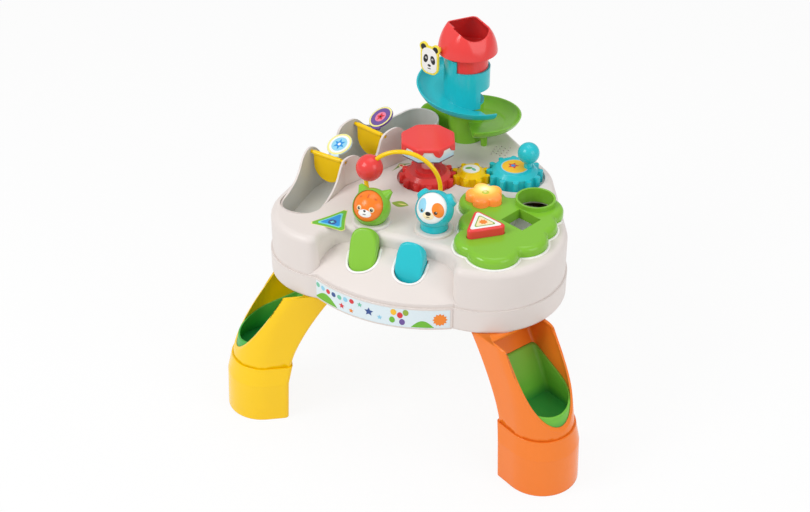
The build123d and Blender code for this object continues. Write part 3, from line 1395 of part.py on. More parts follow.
GREEN_RADII = (GREEN_SLIDE_RADIUS, GREEN_SLIDE_EXIT)
BLUE_RADII = (BLUE_SLIDE_RADIUS, BLUE_SLIDE_RADIUS)
green_tray = spiral_tray(GREEN_COLUMN - WALL / 2, GREEN_RADII, GREEN_SLIDE_ENDS, GREEN_SLIDE_FLOORS)
green_tube = tower_disc(GREEN_COLUMN, GREEN_COLUMN - WALL, 0, GREEN_COLUMN_TOP)
green_foot = tower_disc(GREEN_COLUMN, GREEN_COLUMN - 2 * WALL, 0, WALL)
green_spigot = tower_disc(GREEN_COLUMN - WALL, GREEN_COLUMN - 2 * WALL, -2 * WALL, WALL)
GUARD_LOW = GREEN_SLIDE_FLOORS[1] - SLIDE_THICK
with BuildPart() as guard:
    with BuildSketch(radial_plane(GREEN_SLIDE_ENDS[1])) as guard_side:
        with Locations(((GREEN_COLUMN + GREEN_SLIDE_EXIT) / 2, (GUARD_LOW + GUARD_TOP) / 2)):
            Rectangle(GREEN_SLIDE_EXIT - GREEN_COLUMN + WALL, GUARD_TOP - GUARD_LOW)
        fillet(guard_side.vertices().sort_by(Axis.X)[-2:].sort_by(Axis.Y)[-1], GUARD_ROUND)
    extrude(amount=SLIDE_THICK, both=True)

with BuildPart() as green_slide:
    add(green_tube)
    add(green_tray)
    add(green_foot)
    add(green_spigot)
    add(guard.part)
    with BuildSketch(turned(polar(TOWER, SLIDE_PEG[1], SLIDE_PEG[0]), DECK_Z, 0)):
        Circle(SLIDE_PEG_RADIUS)
    extrude(amount=SLIDE_PEG_TOP)
    with BuildSketch(turned(TOWER, DECK_Z, 0)):
        Circle(GREEN_COLUMN - WALL)
    extrude(amount=WALL)
save(green_slide.part, "green_slide")

blue_tray = spiral_tray(BLUE_COLUMN - WALL / 2, BLUE_RADII, BLUE_SLIDE_ENDS, BLUE_SLIDE_FLOORS)
PLUG_RADIUS = GREEN_COLUMN - WALL - FIT
FOOT_TOP = GREEN_COLUMN_TOP + WALL
DRUM_LOW = BLUE_SLIDE_FLOORS[0] - WALL
blue_drum = tower_disc(BLUE_COLUMN, BLUE_COLUMN - WALL, DRUM_LOW, BLUE_COLUMN_TOP)
tube_reach = (BLUE_COLUMN - WALL, BLUE_COLUMN)
blue_skirt = tower_sector(BLUE_SLIDE_ENDS, *tube_reach, GREEN_COLUMN_TOP, BLUE_COLUMN_TOP)
blue_foot = tower_disc(GREEN_COLUMN, PLUG_RADIUS - WALL, GREEN_COLUMN_TOP, FOOT_TOP)
blue_ledge = tower_sector(BLUE_SLIDE_ENDS, PLUG_RADIUS, BLUE_COLUMN, GREEN_COLUMN_TOP, FOOT_TOP)
blue_plug = tower_disc(PLUG_RADIUS, PLUG_RADIUS - WALL, GREEN_COLUMN_TOP - PLUG_DEPTH, FOOT_TOP)
blue_wall = tower_sector(WALL_ENDS, *tube_reach, GREEN_COLUMN_TOP, WALL_TOP)
window_reach = (BLUE_COLUMN - 4 * WALL, BLUE_COLUMN + WALL)
window = tower_sector(WINDOW_ENDS, *window_reach, BLUE_SLIDE_FLOORS[0], ROOF_FLARE)
with BuildPart() as blue_slide:
    add(blue_drum)
    add(blue_skirt)
    add(blue_tray)
    add(blue_foot)
    add(blue_ledge)
    add(blue_plug)
    add(blue_wall)
    with BuildSketch(turned(TOWER, DECK_Z + BLUE_SLIDE_FLOORS[0] - WALL, 0)):
        Circle(BLUE_COLUMN - WALL / 2)
    extrude(amount=WALL)
    add(window, mode=Mode.SUBTRACT)
save(blue_slide.part, "blue_slide")


def roof_loft(inset):
    """The roof from its round eaves to its square mouth, drawn in by a distance."""
    sections = [
        (ROOF_EAVES, 2 * ROOF_RADIUS, ROOF_RADIUS - EAVES_FLAT),
        (ROOF_SHOULDER_Z, ROOF_SHOULDER, SHOULDER_CORNER),
        (ROOF_TOP, ROOF_OPENING, MOUTH_CORNER),
    ]
    with BuildPart() as body:
        for z, side, corner in sections:
            with BuildSketch(turned(TOWER, DECK_Z + z, ROOF_TURN)):
                RectangleRounded(side - 2 * inset, side - 2 * inset, corner - inset)
        loft()
    return body.part


roof_outer = roof_loft(0)
roof_inner = roof_loft(WALL)
NECK_RADIUS = BLUE_COLUMN - WALL - FIT
roof_neck = tower_disc(NECK_RADIUS, NECK_RADIUS - WALL, BLUE_COLUMN_TOP - PLUG_DEPTH, ROOF_FLARE)
dip_middle = ROOF_TOP - ROOF_DIP + DIP_RADIUS
across_dip = turned(TOWER, DECK_Z, ROOF_TURN)
badge_reach = (ROOF_RADIUS + FIT) / cos(radians(BADGE_LOOK - BADGE_ANGLE))
badge_place = polar(TOWER, badge_reach, BADGE_ANGLE)
badge_out = (cos(radians(BADGE_LOOK)), sin(radians(BADGE_LOOK)), 0)
badge_across = (-badge_out[1], badge_out[0], 0)
badge_at = (badge_place[0], badge_place[1] + CENTRE_Y, DECK_Z + BADGE_Z)
BADGE_PLANE = Plane(origin=badge_at, x_dir=badge_across, z_dir=badge_out)
PEG_AT = (BADGE_WIDTH / 3, ROOF_EAVES + WALL + BADGE_PEG - BADGE_Z)

with BuildPart() as tower_roof:
    with BuildSketch(turned(TOWER, DECK_Z + ROOF_FLARE, 0)):
        Circle(BLUE_COLUMN - WALL / 2)
    with BuildSketch(turned(TOWER, DECK_Z + ROOF_EAVES, 0)):
        Circle(ROOF_RADIUS - EAVES_LIP)
    loft()
    with BuildSketch(turned(TOWER, DECK_Z + ROOF_FLARE, 0)):
        Circle(NECK_RADIUS - WALL)
    with BuildSketch(turned(TOWER, DECK_Z + ROOF_EAVES, 0)):
        Circle(ROOF_RADIUS - WALL - EAVES_LIP)
    loft(mode=Mode.SUBTRACT)
    add(roof_neck)
    add(roof_outer)
    add(roof_inner, mode=Mode.SUBTRACT)
    with BuildSketch(Plane(across_dip.origin, x_dir=across_dip.x_dir, z_dir=-across_dip.y_dir)):
        with Locations((0, dip_middle)):
            Circle(DIP_RADIUS)
    extrude(amount=2 * ROOF_RADIUS, mode=Mode.SUBTRACT)
    add(window, mode=Mode.SUBTRACT)
    with BuildSketch(BADGE_PLANE):
        with Locations(PEG_AT):
            Circle(BADGE_PEG + PRESS)
    extrude(amount=-ROOF_RADIUS / 2, mode=Mode.SUBTRACT)
save(tower_roof.part, "tower_roof")

with BuildPart() as badge:
    with BuildSketch(BADGE_PLANE):
        RectangleRounded(BADGE_WIDTH, BADGE_HEIGHT, BADGE_CORNER)
        with Locations((-BADGE_EAR_OUT, BADGE_EAR_UP), (BADGE_EAR_OUT, BADGE_EAR_UP)):
            Circle(BADGE_EAR)
    extrude(amount=BADGE_THICK)
    with BuildSketch(BADGE_PLANE):
        with Locations(PEG_AT):
            Circle(BADGE_PEG)
    extrude(amount=-PEG_LENGTH)
save(badge.part, "badge")
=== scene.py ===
import json
import math

import bmesh
import bpy
from mathutils import Matrix, Vector
from mathutils.bvhtree import BVHTree


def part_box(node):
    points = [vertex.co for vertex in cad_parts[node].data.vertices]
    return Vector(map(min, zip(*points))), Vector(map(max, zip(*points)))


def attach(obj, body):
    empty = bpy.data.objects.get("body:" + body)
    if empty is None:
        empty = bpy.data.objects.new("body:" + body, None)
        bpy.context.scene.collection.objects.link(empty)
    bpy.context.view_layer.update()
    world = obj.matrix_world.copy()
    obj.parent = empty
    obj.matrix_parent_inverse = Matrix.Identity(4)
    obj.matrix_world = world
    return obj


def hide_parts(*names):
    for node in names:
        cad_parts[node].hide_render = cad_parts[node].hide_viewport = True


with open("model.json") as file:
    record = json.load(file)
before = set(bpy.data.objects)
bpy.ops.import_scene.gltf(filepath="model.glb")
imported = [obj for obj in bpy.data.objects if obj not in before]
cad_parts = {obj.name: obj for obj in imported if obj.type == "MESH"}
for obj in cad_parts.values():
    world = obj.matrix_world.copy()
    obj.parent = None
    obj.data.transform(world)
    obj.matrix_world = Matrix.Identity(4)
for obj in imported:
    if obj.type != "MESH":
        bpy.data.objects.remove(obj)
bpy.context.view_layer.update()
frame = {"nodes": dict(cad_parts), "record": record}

nodes = frame["nodes"]

# Sizes shared with the solids, in millimetres; y is counted from the middle of the leg circle
MM = 0.001
CENTRE_Y = -65
DECK_Z = 310
FACE_TILT = 36
FACE_BALL = 26
HEAD_Z = 23
FOX = (-68, -54)
DOG = (21, -41)
DOG_LIFT = 9.63
YELLOW_GEAR = (19.97, 112.53)
BLUE_GEAR = (79.31, 136.5)
YELLOW_GEAR_TOP = 13
BLUE_GEAR_TOP = 17
FLOWER = (67, 38)
FLOWER_TOP = 27
TRIANGLE = (92, -40)
TRIANGLE_TOP = 28
TRIANGLE_TURN = 7.5
TOWER = (-30, 225)
BADGE_REACH = 56.85
BADGE_ANGLE = 216
BADGE_LOOK = 253
BADGE_Z = 136
BADGE_THICK = 3
TONGUE_CENTRE = (-22, 54)
TRACK_POINTS = [(-180, -44), (-172, 27), (-136, 99), (-92, 182)]
TRACK_HALF = 29
LEG_ANGLES = {"yellow_leg": 210, "orange_leg": 330}
MEDALLIONS = {
    "front": {"point": (-172, 27), "z": 38, "turn": -11},
    "rear": {"point": (-136, 99), "z": 53, "turn": -20},
}
MEDALLION_LEAN = 66
MEDALLION_AT = (11, 23)
MEDALLION_TOP = 1.5
KEYS = {"green": {"pivot": (-65, -82), "turn": 12}, "teal": {"pivot": (8, -82.5), "turn": 3}}
KEY_HALF = 20
KEY_RADIUS = 42
KEY_ROUND = 18.5
KEY_DEPTH = 11
KEY_GAP = 1.2
DASH_SLOPE = 25.9
DASH_REACH = 134
DASH_RUN = 74
DASH_STEP = 20
DASH_DROP = 56
DASH_BULGE = 4
BUSH_LOBES = [
    ((66, 37), 35),
    ((137, 56), 34),
    ((148, 50), 31),
    ((150, 10), 32),
    ((145, -30), 36),
    ((118, -72), 36),
    ((90, -60), 31),
    ((80, -15), 31),
]
BUSH_MIDDLE = (108, -5)

# Prints: height of the lowest level over its surface, step to each level above, depth below
PRINT_RISE = 0.12
PRINT_STEP = 0.1
PRINT_SINK = 0.3

# Painted shade inside the ball run: margin beside the channel, and the lowest slope of a face that takes
# it
RUN_MARGIN = 0.5
RUN_SLOPE = -0.5

# Cut over a front leg's trough: reach from the middle, half its width, and its two heights
TROUGH_REACH = (189, 250)
TROUGH_HALF = 43.5
TROUGH_RISE = (206, 213)

# Lips: a lip's middle lies out from the edge that it follows, and it avoids a fall of the deck
LIP_HALF = 2.1
LIP_HEIGHT = 1.4
LIP_SINK = 0.4
LIP_STEPS = 6
LIP_OUT = 0.7 * LIP_HALF
LIP_EDGE = LIP_OUT + LIP_HALF
LIP_FALL = 5
RAY_RISE = 40
BUSH_STEPS = 240
KEY_ARMS = (4, 12)
KEY_STEPS = 40

# Printed strip: radius of its face, half its length along the arc, and its two heights
STRIP_RADIUS = 210.5
STRIP_HALF = 106
STRIP_LOW = 217
STRIP_HIGH = 246.5
STRIP_STEPS = 40
HILL_RISE = 1
DOT_HALF = 3.8
DOT_POINTS = 24

# Finish: edges and bumps in metres, noise scales in waves to the metre, gloss as roughness
EDGE_RADIUS = 0.0011
# Painted highlight on sharp edges: span of the edge mask, then gain, lift and ceiling of the paler colour
EDGE_SPAN = (0.995, 0.85)
HIGHLIGHT_GAIN = 1.1
HIGHLIGHT_LIFT = 0.02
HIGHLIGHT_MOST = 0.95
BUMP_DEPTH = 0.0004
GRAIN_SCALE = 900
GLOSS_SCALE = 60
CLOUD_SCALE = 14
CLOUD_SPREAD = (0.25, 0.75)
CLOUD_DARK = 0.95
CLOUD_PALE = 1.03
GLOSSY = (0.17, 0.26)
HALF_GLOSSY = (0.26, 0.4)
PRINT_GLOSS = (0.3, 0.42)
SATIN = (0.34, 0.48)
DULL = (0.36, 0.5)
PLASTIC_SPECULAR = 0.42
LEVEL_SPECULAR = 0.32
SHARP_ANGLE = 30


def srgb(red, green, blue):
    """Linear colour of a screen colour from 0 to 255."""
    values = [c / 255 for c in (red, green, blue)]
    return tuple(((c + 0.055) / 1.055) ** 2.4 if c > 0.04045 else c / 12.92 for c in values) + (1,)


def shade(colour, share):
    return tuple(c * share for c in colour[:3]) + (1,)


def table_point(x, y, z):
    """A place on the table, from millimetres to the frame's metres."""
    return Vector((x * MM, (y + CENTRE_Y) * MM, z * MM))


def polar(centre, radius, angle):
    turn = math.radians(angle)
    return (centre[0] + radius * math.cos(turn), centre[1] + radius * math.sin(turn))


class Nodes:
    """Short hand for the node tree of one material."""

    # Colour sockets of the mix node
    MIX_FIRST = 6
    MIX_SECOND = 7
    MIX_RESULT = 2

    def __init__(self, name):
        self.material = bpy.data.materials.new(name)
        self.material.use_nodes = True
        self.tree = self.material.node_tree
        self.shader = self.tree.nodes["Principled BSDF"]

    def add(self, kind, **inputs):
        node = self.tree.nodes.new(kind)
        for key, value in inputs.items():
            node.inputs[key.replace("_", " ")].default_value = value
        return node

    def link(self, source, target):
        self.tree.links.new(source, target)

    def calculate(self, kind, operation, first, second):
        """A math or vector math node with two linked inputs."""
        node = self.add(kind)
        node.operation = operation
        self.link(first, node.inputs[0])
        self.link(second, node.inputs[1])
        return node

    def place(self):
        return self.add("ShaderNodeTexCoord").outputs["Object"]

    def noise(self, scale, detail):
        node = self.add("ShaderNodeTexNoise", Scale=scale, Detail=detail)
        self.link(self.place(), node.inputs["Vector"])
        return node.outputs["Fac"]

    def spread(self, source, low, high):
        """A value from 0 to 1, spread between two limits."""
        node = self.add("ShaderNodeMapRange", To_Min=low, To_Max=high)
        self.link(source, node.inputs["Value"])
        return node.outputs["Result"]

    def portion(self, source, start, end):
        """Where a value lies between two limits, from 0 to 1."""
        node = self.add("ShaderNodeMapRange", From_Min=start, From_Max=end)
        self.link(source, node.inputs["Value"])
        return node.outputs["Result"]

    def mix(self, factor, first, second):
        node = self.add("ShaderNodeMix")
        node.data_type = "RGBA"
        self.link(factor, node.inputs["Factor"])
        for socket, value in ((self.MIX_FIRST, first), (self.MIX_SECOND, second)):
            if isinstance(value, tuple):
                node.inputs[socket].default_value = value
            else:
                self.link(value, node.inputs[socket])
        return node.outputs[self.MIX_RESULT]

    def ramp(self, factor, stops):
        """Colours along a factor, from the first stop to the last."""
        node = self.add("ShaderNodeValToRGB")
        self.link(factor, node.inputs["Fac"])
        elements = node.color_ramp.elements
        for element, (share, colour) in zip(elements, (stops[0], stops[-1])):
            element.position = share
            element.color = srgb(*colour)
        for share, colour in stops[1:-1]:
            elements.new(share).color = srgb(*colour)
        return node.outputs["Color"]

    def gloss(self, rough, scale=GLOSS_SCALE, detail=5):
        self.link(self.spread(self.noise(scale, detail), *rough), self.shader.inputs["Roughness"])

    def grain(self, scale, strength):
        """Fine mould grain over softly rounded edges."""
        rounded_edge = self.add("ShaderNodeBevel", Radius=EDGE_RADIUS)
        rounded_edge.samples = 4
        bump = self.add("ShaderNodeBump", Strength=strength, Distance=BUMP_DEPTH)
        self.link(self.noise(scale, 3), bump.inputs["Height"])
        self.link(rounded_edge.outputs["Normal"], bump.inputs["Normal"])
        self.link(bump.outputs["Normal"], self.shader.inputs["Normal"])
        return rounded_edge.outputs["Normal"]

    def edges(self, soft_normal):
        """Mask of the sharp edges, where the softened normal leaves the true one; it places a painted
        highlight.
        """
        true_normal = self.add("ShaderNodeNewGeometry").outputs["Normal"]
        along = self.calculate("ShaderNodeVectorMath", "DOT_PRODUCT", true_normal, soft_normal)
        return self.portion(along.outputs["Value"], *EDGE_SPAN)


def plastic(name, colour, rough=GLOSSY, grain=0.04):
    """Moulded plastic: slight clouding of colour and gloss, a fine grain, and edges made paler as a
    painted highlight.
    """
    made = Nodes(name)
    base = srgb(*colour)
    soft_normal = made.grain(GRAIN_SCALE, grain)
    clouds = made.spread(made.noise(CLOUD_SCALE, 4), *CLOUD_SPREAD)
    tint = made.mix(clouds, shade(base, CLOUD_DARK), shade(base, CLOUD_PALE))
    # Paler colour on the sharp edges: a painted highlight
    edge_highlight = tuple(min(c * HIGHLIGHT_GAIN + HIGHLIGHT_LIFT, HIGHLIGHT_MOST) for c in base[:3]) + (1,)
    made.link(made.mix(made.edges(soft_normal), tint, edge_highlight), made.shader.inputs["Base Color"])
    made.gloss(rough)
    made.shader.inputs["Specular IOR Level"].default_value = PLASTIC_SPECULAR
    return made.material


def metal(name, colour):
    """Plain metal with a faint stain and brushing."""
    made = Nodes(name)
    made.shader.inputs["Metallic"].default_value = 1.0
    tint = made.mix(made.noise(40, 4), shade(colour, 0.85), colour)
    made.link(tint, made.shader.inputs["Base Color"])
    made.gloss((0.25, 0.4), scale=300, detail=4)
    made.grain(1500, 0.05)
    return made.material


def lit_flower():
    """Translucent petals lit from a lamp under one side of the button."""
    lamp_shift = (-3, 7)
    lamp_reach = 0.03
    made = Nodes("lit_petals")
    lamp_place = table_point(FLOWER[0] + lamp_shift[0], FLOWER[1] + lamp_shift[1], DECK_Z + FLOWER_TOP)
    offset = made.add("ShaderNodeVectorMath")
    offset.operation = "DISTANCE"
    offset.inputs[1].default_value = lamp_place
    made.link(made.place(), offset.inputs[0])
    stops = [(0.0, (255, 246, 214)), (0.3, (255, 222, 120)), (0.6, (255, 176, 66)), (1.0, (250, 138, 60))]
    glow = made.ramp(made.portion(offset.outputs["Value"], 0.0, lamp_reach), stops)
    made.link(glow, made.shader.inputs["Base Color"])
    made.link(glow, made.shader.inputs["Emission Color"])
    made.shader.inputs["Emission Strength"].default_value = 0.28
    made.gloss((0.22, 0.34))
    made.grain(GRAIN_SCALE, 0.04)
    return made.material


def level_print(node, stops):
    """Moulded plastic whose colour follows the height within one node."""
    made = Nodes(node + "_plastic")
    low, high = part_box(node)
    level = made.add("ShaderNodeSeparateXYZ")
    made.link(made.place(), level.inputs["Vector"])
    colours = made.ramp(made.portion(level.outputs["Z"], low.z, high.z), stops)
    made.link(colours, made.shader.inputs["Base Color"])
    made.gloss(HALF_GLOSSY)
    made.shader.inputs["Specular IOR Level"].default_value = LEVEL_SPECULAR
    made.grain(GRAIN_SCALE, 0.03)
    return made.material


# Materials of the record's slots, of single nodes and of the printed inks
SLOT_LOOKS = {
    "shell_white": plastic("moulded_white", (230, 221, 216), rough=SATIN, grain=0.06),
    "track_grey": plastic("run_white", (228, 219, 214), rough=SATIN),
    "yellow": plastic("moulded_yellow", (255, 208, 0)),
    "orange": plastic("moulded_orange", (250, 130, 36)),
    "lime": plastic("moulded_lime", (133, 196, 52)),
    "pale_blue": plastic("print_pale_blue", (205, 232, 244)),
    "purple": plastic("print_purple", (112, 84, 158)),
    "red": plastic("moulded_red", (240, 68, 66)),
    "teal": plastic("moulded_teal", (36, 196, 208)),
    "face_white": plastic("print_white", (250, 250, 248)),
    "amber": lit_flower(),
    "board_green": plastic("laminate_green", (30, 95, 50), rough=(0.4, 0.6)),
    "dark_plastic": plastic("moulded_dark", (38, 38, 42), rough=(0.4, 0.55)),
    "battery_metal": plastic("sleeve_dark", (60, 60, 66)),
    "steel": metal("plain_steel", (0.55, 0.55, 0.57, 1)),
    "badge_yellow": plastic("moulded_pale_yellow", (252, 232, 70)),
}
# Darker grey for the inside of the ball run's channel: painted shade on the same white plastic as the
# outside
RUN_PAINTED_SHADE = plastic("run_painted_shade", (206, 207, 202), rough=DULL)
HEM = (120, 70, 84)
COLUMN_RED = (235, 62, 62)
LEVEL_STOPS = {
    "canopy_band": [(0.0, HEM), (0.09, HEM), (0.11, (182, 218, 238)), (1.0, (250, 250, 250))],
    "carousel_column": [
        (0.0, COLUMN_RED),
        (0.16, COLUMN_RED),
        (0.2, (226, 150, 150)),
        (1.0, (244, 230, 228)),
    ],
    "yellow_cup": [(0.0, (30, 150, 72)), (0.25, (62, 176, 72)), (1.0, (120, 200, 84))],
    "orange_cup": [(0.0, (40, 150, 68)), (0.25, (112, 192, 62)), (1.0, (126, 190, 66))],
}
NODE_LOOKS = {node: level_print(node, stops) for node, stops in LEVEL_STOPS.items()}
NODE_LOOKS["sorter_chute"] = plastic("chute_white", (236, 236, 233), rough=DULL)
INKS = {
    "white": (250, 250, 248),
    "ink": (26, 22, 24),
    "orange": (250, 140, 40),
    "deep_orange": (226, 100, 24),
    "cream": (255, 236, 190),
    "sky": (150, 214, 240),
    "blue": (40, 150, 226),
    "navy": (52, 84, 150),
    "mist": (226, 240, 246),
    "green": (112, 190, 50),
    "leaf": (150, 180, 60),
    "mint": (120, 205, 170),
    "red": (222, 52, 60),
    "pink": (240, 130, 160),
    "purple": (112, 84, 158),
    "sun": (255, 196, 40),
    "lemon": (250, 240, 150),
    "cyan": (120, 222, 226),
    "moss": (120, 152, 84),
    "spring": (206, 214, 74),
    # rim: whiter than the housing plastic, a painted highlight on the housing's lips
    "rim": (252, 249, 246),
}
PRINTED = {name: plastic("ink_" + name, ink, rough=PRINT_GLOSS, grain=0.02) for name, ink in INKS.items()}

SLOT_OF = {row["node"]: row["material_slot"] for row in frame["record"]["subparts"]}
for node, thing in nodes.items():
    look = NODE_LOOKS[node] if node in NODE_LOOKS else SLOT_LOOKS[SLOT_OF[node]]
    thing.data.materials.clear()
    thing.data.materials.append(look)


# Surfaces that take a print: each maps u, v and a height to a place
def flat(origin, x_dir, normal):
    """A plane."""
    across = Vector(x_dir).normalized()
    out = Vector(normal).normalized()
    upward = out.cross(across)
    return lambda u, v, h: origin + (across * u + upward * v + out * h) * MM


def ball(origin, x_dir, normal, radius):
    """A ball, with u and v as seen along its normal."""
    across = Vector(x_dir).normalized()
    out = Vector(normal).normalized()
    upward = out.cross(across)

    def place(u, v, h):
        depth = math.sqrt(max(radius**2 - u**2 - v**2, 0))
        return origin + (across * u + upward * v + out * depth) * (1 + h / radius) * MM

    return place


def band(radius):
    """The housing's round front, with u along its arc and v its height."""

    def place(u, v, h):
        angle = math.radians(-90) + u / radius
        reach = radius + h
        x = TONGUE_CENTRE[0] + reach * math.cos(angle)
        y = TONGUE_CENTRE[1] + reach * math.sin(angle)
        return table_point(x, y, v)

    return place


# Pieces
def add_piece(name, mesh, body):
    """A piece that moves with a body."""
    piece = bpy.data.objects.new(name, mesh)
    bpy.context.scene.collection.objects.link(piece)
    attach(piece, body)
    return piece


def closed_mesh(name, points, faces):
    """A mesh whose faces all look outwards."""
    mesh = bpy.data.meshes.new(name)
    mesh.from_pydata(points, [], faces)
    work = bmesh.new()
    work.from_mesh(mesh)
    bmesh.ops.recalc_face_normals(work, faces=work.faces)
    work.to_mesh(mesh)
    work.free()
    return mesh


def patch(name, outline, surface, ink, body, level=0, rings=4):
    """A thin printed patch: an outline filled in rings towards its middle, laid on a surface."""
    count = len(outline)
    middle = (sum(u for u, v in outline) / count, sum(v for u, v in outline) / count)
    points = []
    faces = []
    for height in (PRINT_RISE + PRINT_STEP * level, -PRINT_SINK):
        start = len(points)
        points.append(surface(*middle, height))
        for ring in range(1, rings + 1):
            share = ring / rings
            for u, v in outline:
                ring_u = middle[0] + (u - middle[0]) * share
                ring_v = middle[1] + (v - middle[1]) * share
                points.append(surface(ring_u, ring_v, height))
        for step in range(count):
            after = (step + 1) % count
            faces.append([start, start + 1 + step, start + 1 + after])
            for ring in range(rings - 1):
                inner = start + 1 + ring * count
                outer = inner + count
                faces.append([inner + step, outer + step, outer + after, inner + after])
    rim = 1 + (rings - 1) * count
    under = 1 + rings * count
    for step in range(count):
        after = (step + 1) % count
        faces.append([rim + step, under + rim + step, under + rim + after, rim + after])
    mesh = closed_mesh(name, points, faces)
    mesh.materials.append(PRINTED[ink])
    add_piece(name, mesh, body)


def draw(prefix, surface, body, features):
    """Prints a list of features on one surface."""
    for label, outline, ink, slot, level in features:
        patch(prefix + "_" + label, outline, surface, ink, body, level)


# Outlines of prints
def oval(u, v, half_u, half_v=None, turn=0, count=36):
    half_v = half_u if half_v is None else half_v
    cosine = math.cos(math.radians(turn))
    sine = math.sin(math.radians(turn))
    points = []
    for step in range(count):
        angle = 2 * math.pi * step / count
        along = half_u * math.cos(angle)
        across = half_v * math.sin(angle)
        points.append((u + along * cosine - across * sine, v + along * sine + across * cosine))
    return points


def pair(label, apart, v, halves, ink, slot, level, turn=0, shift=0):
    """A left and a right oval as mirror images, both moved sideways by a shift."""
    left = oval(shift - apart, v, *halves, turn)
    right = oval(shift + apart, v, *halves, -turn)
    return [("left_" + label, left, ink, slot, level), ("right_" + label, right, ink, slot, level)]


def rounded(corners, radius, steps=6):
    """A convex polygon with its corners rounded."""
    points = []
    count = len(corners)
    for index in range(count):
        here = Vector(corners[index])
        back = (Vector(corners[index - 1]) - here).normalized()
        ahead = (Vector(corners[(index + 1) % count]) - here).normalized()
        half = math.acos(max(-1, min(1, back.dot(ahead)))) / 2
        centre = here + (back + ahead).normalized() * radius / math.sin(half)
        first = here + back * radius / math.tan(half) - centre
        last = here + ahead * radius / math.tan(half) - centre
        start = math.atan2(first.y, first.x)
        sweep = (math.atan2(last.y, last.x) - start + math.pi) % (2 * math.pi) - math.pi
        for step in range(steps + 1):
            angle = start + sweep * step / steps
            points.append((centre.x + radius * math.cos(angle), centre.y + radius * math.sin(angle)))
    return points


def star(u, v, outer, inner, points):
    """A star with its first point upwards."""
    outline = []
    for step in range(2 * points):
        reach = inner if step % 2 else outer
        outline.append(polar((u, v), reach, 90 + 180 * step / points))
    return outline


def leaf_outline(tip, root, half, steps=12):
    """A pointed leaf from its tip to its root, with half its width at the middle given."""
    along = (Vector(root) - Vector(tip)).normalized()
    side = Vector((-along.y, along.x)) * half
    outline = []
    for start, end, bulge in ((tip, root, -side), (root, tip, side)):
        for step in range(steps):
            share = step / steps
            place = Vector(start).lerp(Vector(end), share) + bulge * math.sin(math.pi * share)
            outline.append((place.x, place.y))
    return outline


def drawn_in(corners, sag, steps=10, blunt=0.1):
    """A triangle whose sides bow inwards, with blunt corners."""
    middle = Vector((sum(u for u, v in corners) / 3, sum(v for u, v in corners) / 3))
    points = []
    for index in range(3):
        start = Vector(corners[index])
        end = Vector(corners[(index + 1) % 3])
        inward = (middle - (start + end) / 2).normalized()
        for step in range(steps + 1):
            share = blunt + (1 - 2 * blunt) * step / steps
            place = start.lerp(end, share) + inward * sag * math.sin(math.pi * share)
            points.append((place.x, place.y))
    return points


def shrunk(corners, share):
    """A triangle drawn in towards its middle."""
    u = sum(corner[0] for corner in corners) / 3
    v = sum(corner[1] for corner in corners) / 3
    return [(u + (a - u) * share, v + (b - v) * share) for a, b in corners]


# Ball run: the outside as the deck, the inside of the channel a darker grey as painted shade
def from_run(x, y):
    """Distance of a place from the middle line of the run."""
    here = Vector((x, y))
    distances = []
    for start, end in zip(TRACK_POINTS, TRACK_POINTS[1:]):
        span = Vector(end) - Vector(start)
        offset = here - Vector(start)
        share = max(0, min(1, offset.dot(span) / span.length_squared))
        distances.append((offset - span * share).length)
    return min(distances)


def ball_run():
    """The run with painted shade: the faces inside its channel in a darker grey, apart from those that
    look down.
    """
    mesh = nodes["ball_track"].data.copy()
    mesh.materials.append(RUN_PAINTED_SHADE)
    for face in mesh.polygons:
        at = face.center / MM
        inside = from_run(at.x, at.y - CENTRE_Y) < TRACK_HALF + RUN_MARGIN
        # Faces inside the channel that don't look down take the painted shade
        face.material_index = 1 if inside and face.normal.z > RUN_SLOPE else 0
    piece = add_piece("ball_run", mesh, "table")
    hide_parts("ball_track")


ball_run()


# Front legs: open troughs right up to the housing
def trough_cutter(angle):
    """A closed block over the top of a leg's trough, from the socket to past its outer side."""
    turn = math.radians(angle)
    out = Vector((math.cos(turn), math.sin(turn)))
    across = Vector((-out.y, out.x))
    corners = []
    for reach, side in ((0, -1), (1, -1), (1, 1), (0, 1)):
        corners.append(out * TROUGH_REACH[reach] + across * side * TROUGH_HALF)
    points = [table_point(x, y, z) for z in TROUGH_RISE for x, y in corners]
    faces = [(3, 2, 1, 0), (4, 5, 6, 7)]
    faces += [(side, (side + 1) % 4, 4 + (side + 1) % 4, 4 + side) for side in range(4)]
    return bpy.data.objects.new("trough_cut", closed_mesh("trough_cut", points, faces))


def open_leg(node, angle):
    """The leg with the top of its trough cut away."""
    cutter = trough_cutter(angle)
    blank = bpy.data.objects.new("leg_blank", nodes[node].data)
    for thing in (cutter, blank):
        bpy.context.scene.collection.objects.link(thing)
    trim = blank.modifiers.new("trough", "BOOLEAN")
    trim.operation = "DIFFERENCE"
    trim.solver = "EXACT"
    trim.object = cutter
    bpy.context.view_layer.update()
    mesh = bpy.data.meshes.new_from_object(blank.evaluated_get(bpy.context.evaluated_depsgraph_get()))
    mesh.shade_smooth()
    mesh.set_sharp_from_angle(angle=math.radians(SHARP_ANGLE))
    for thing in (cutter, blank):
        bpy.data.objects.remove(thing)
    piece = add_piece("open_" + node, mesh, "table")
    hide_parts(node)


for node, angle in LEG_ANGLES.items():
    open_leg(node, angle)

# Faces of the pop-up heads
SIDEWAYS = (1, 0, 0)
LOOK = (0, -math.cos(math.radians(FACE_TILT)), math.sin(math.radians(FACE_TILT)))


def face_ball(place, lift):
    return ball(table_point(*place, DECK_Z + HEAD_Z + lift), SIDEWAYS, LOOK, FACE_BALL)


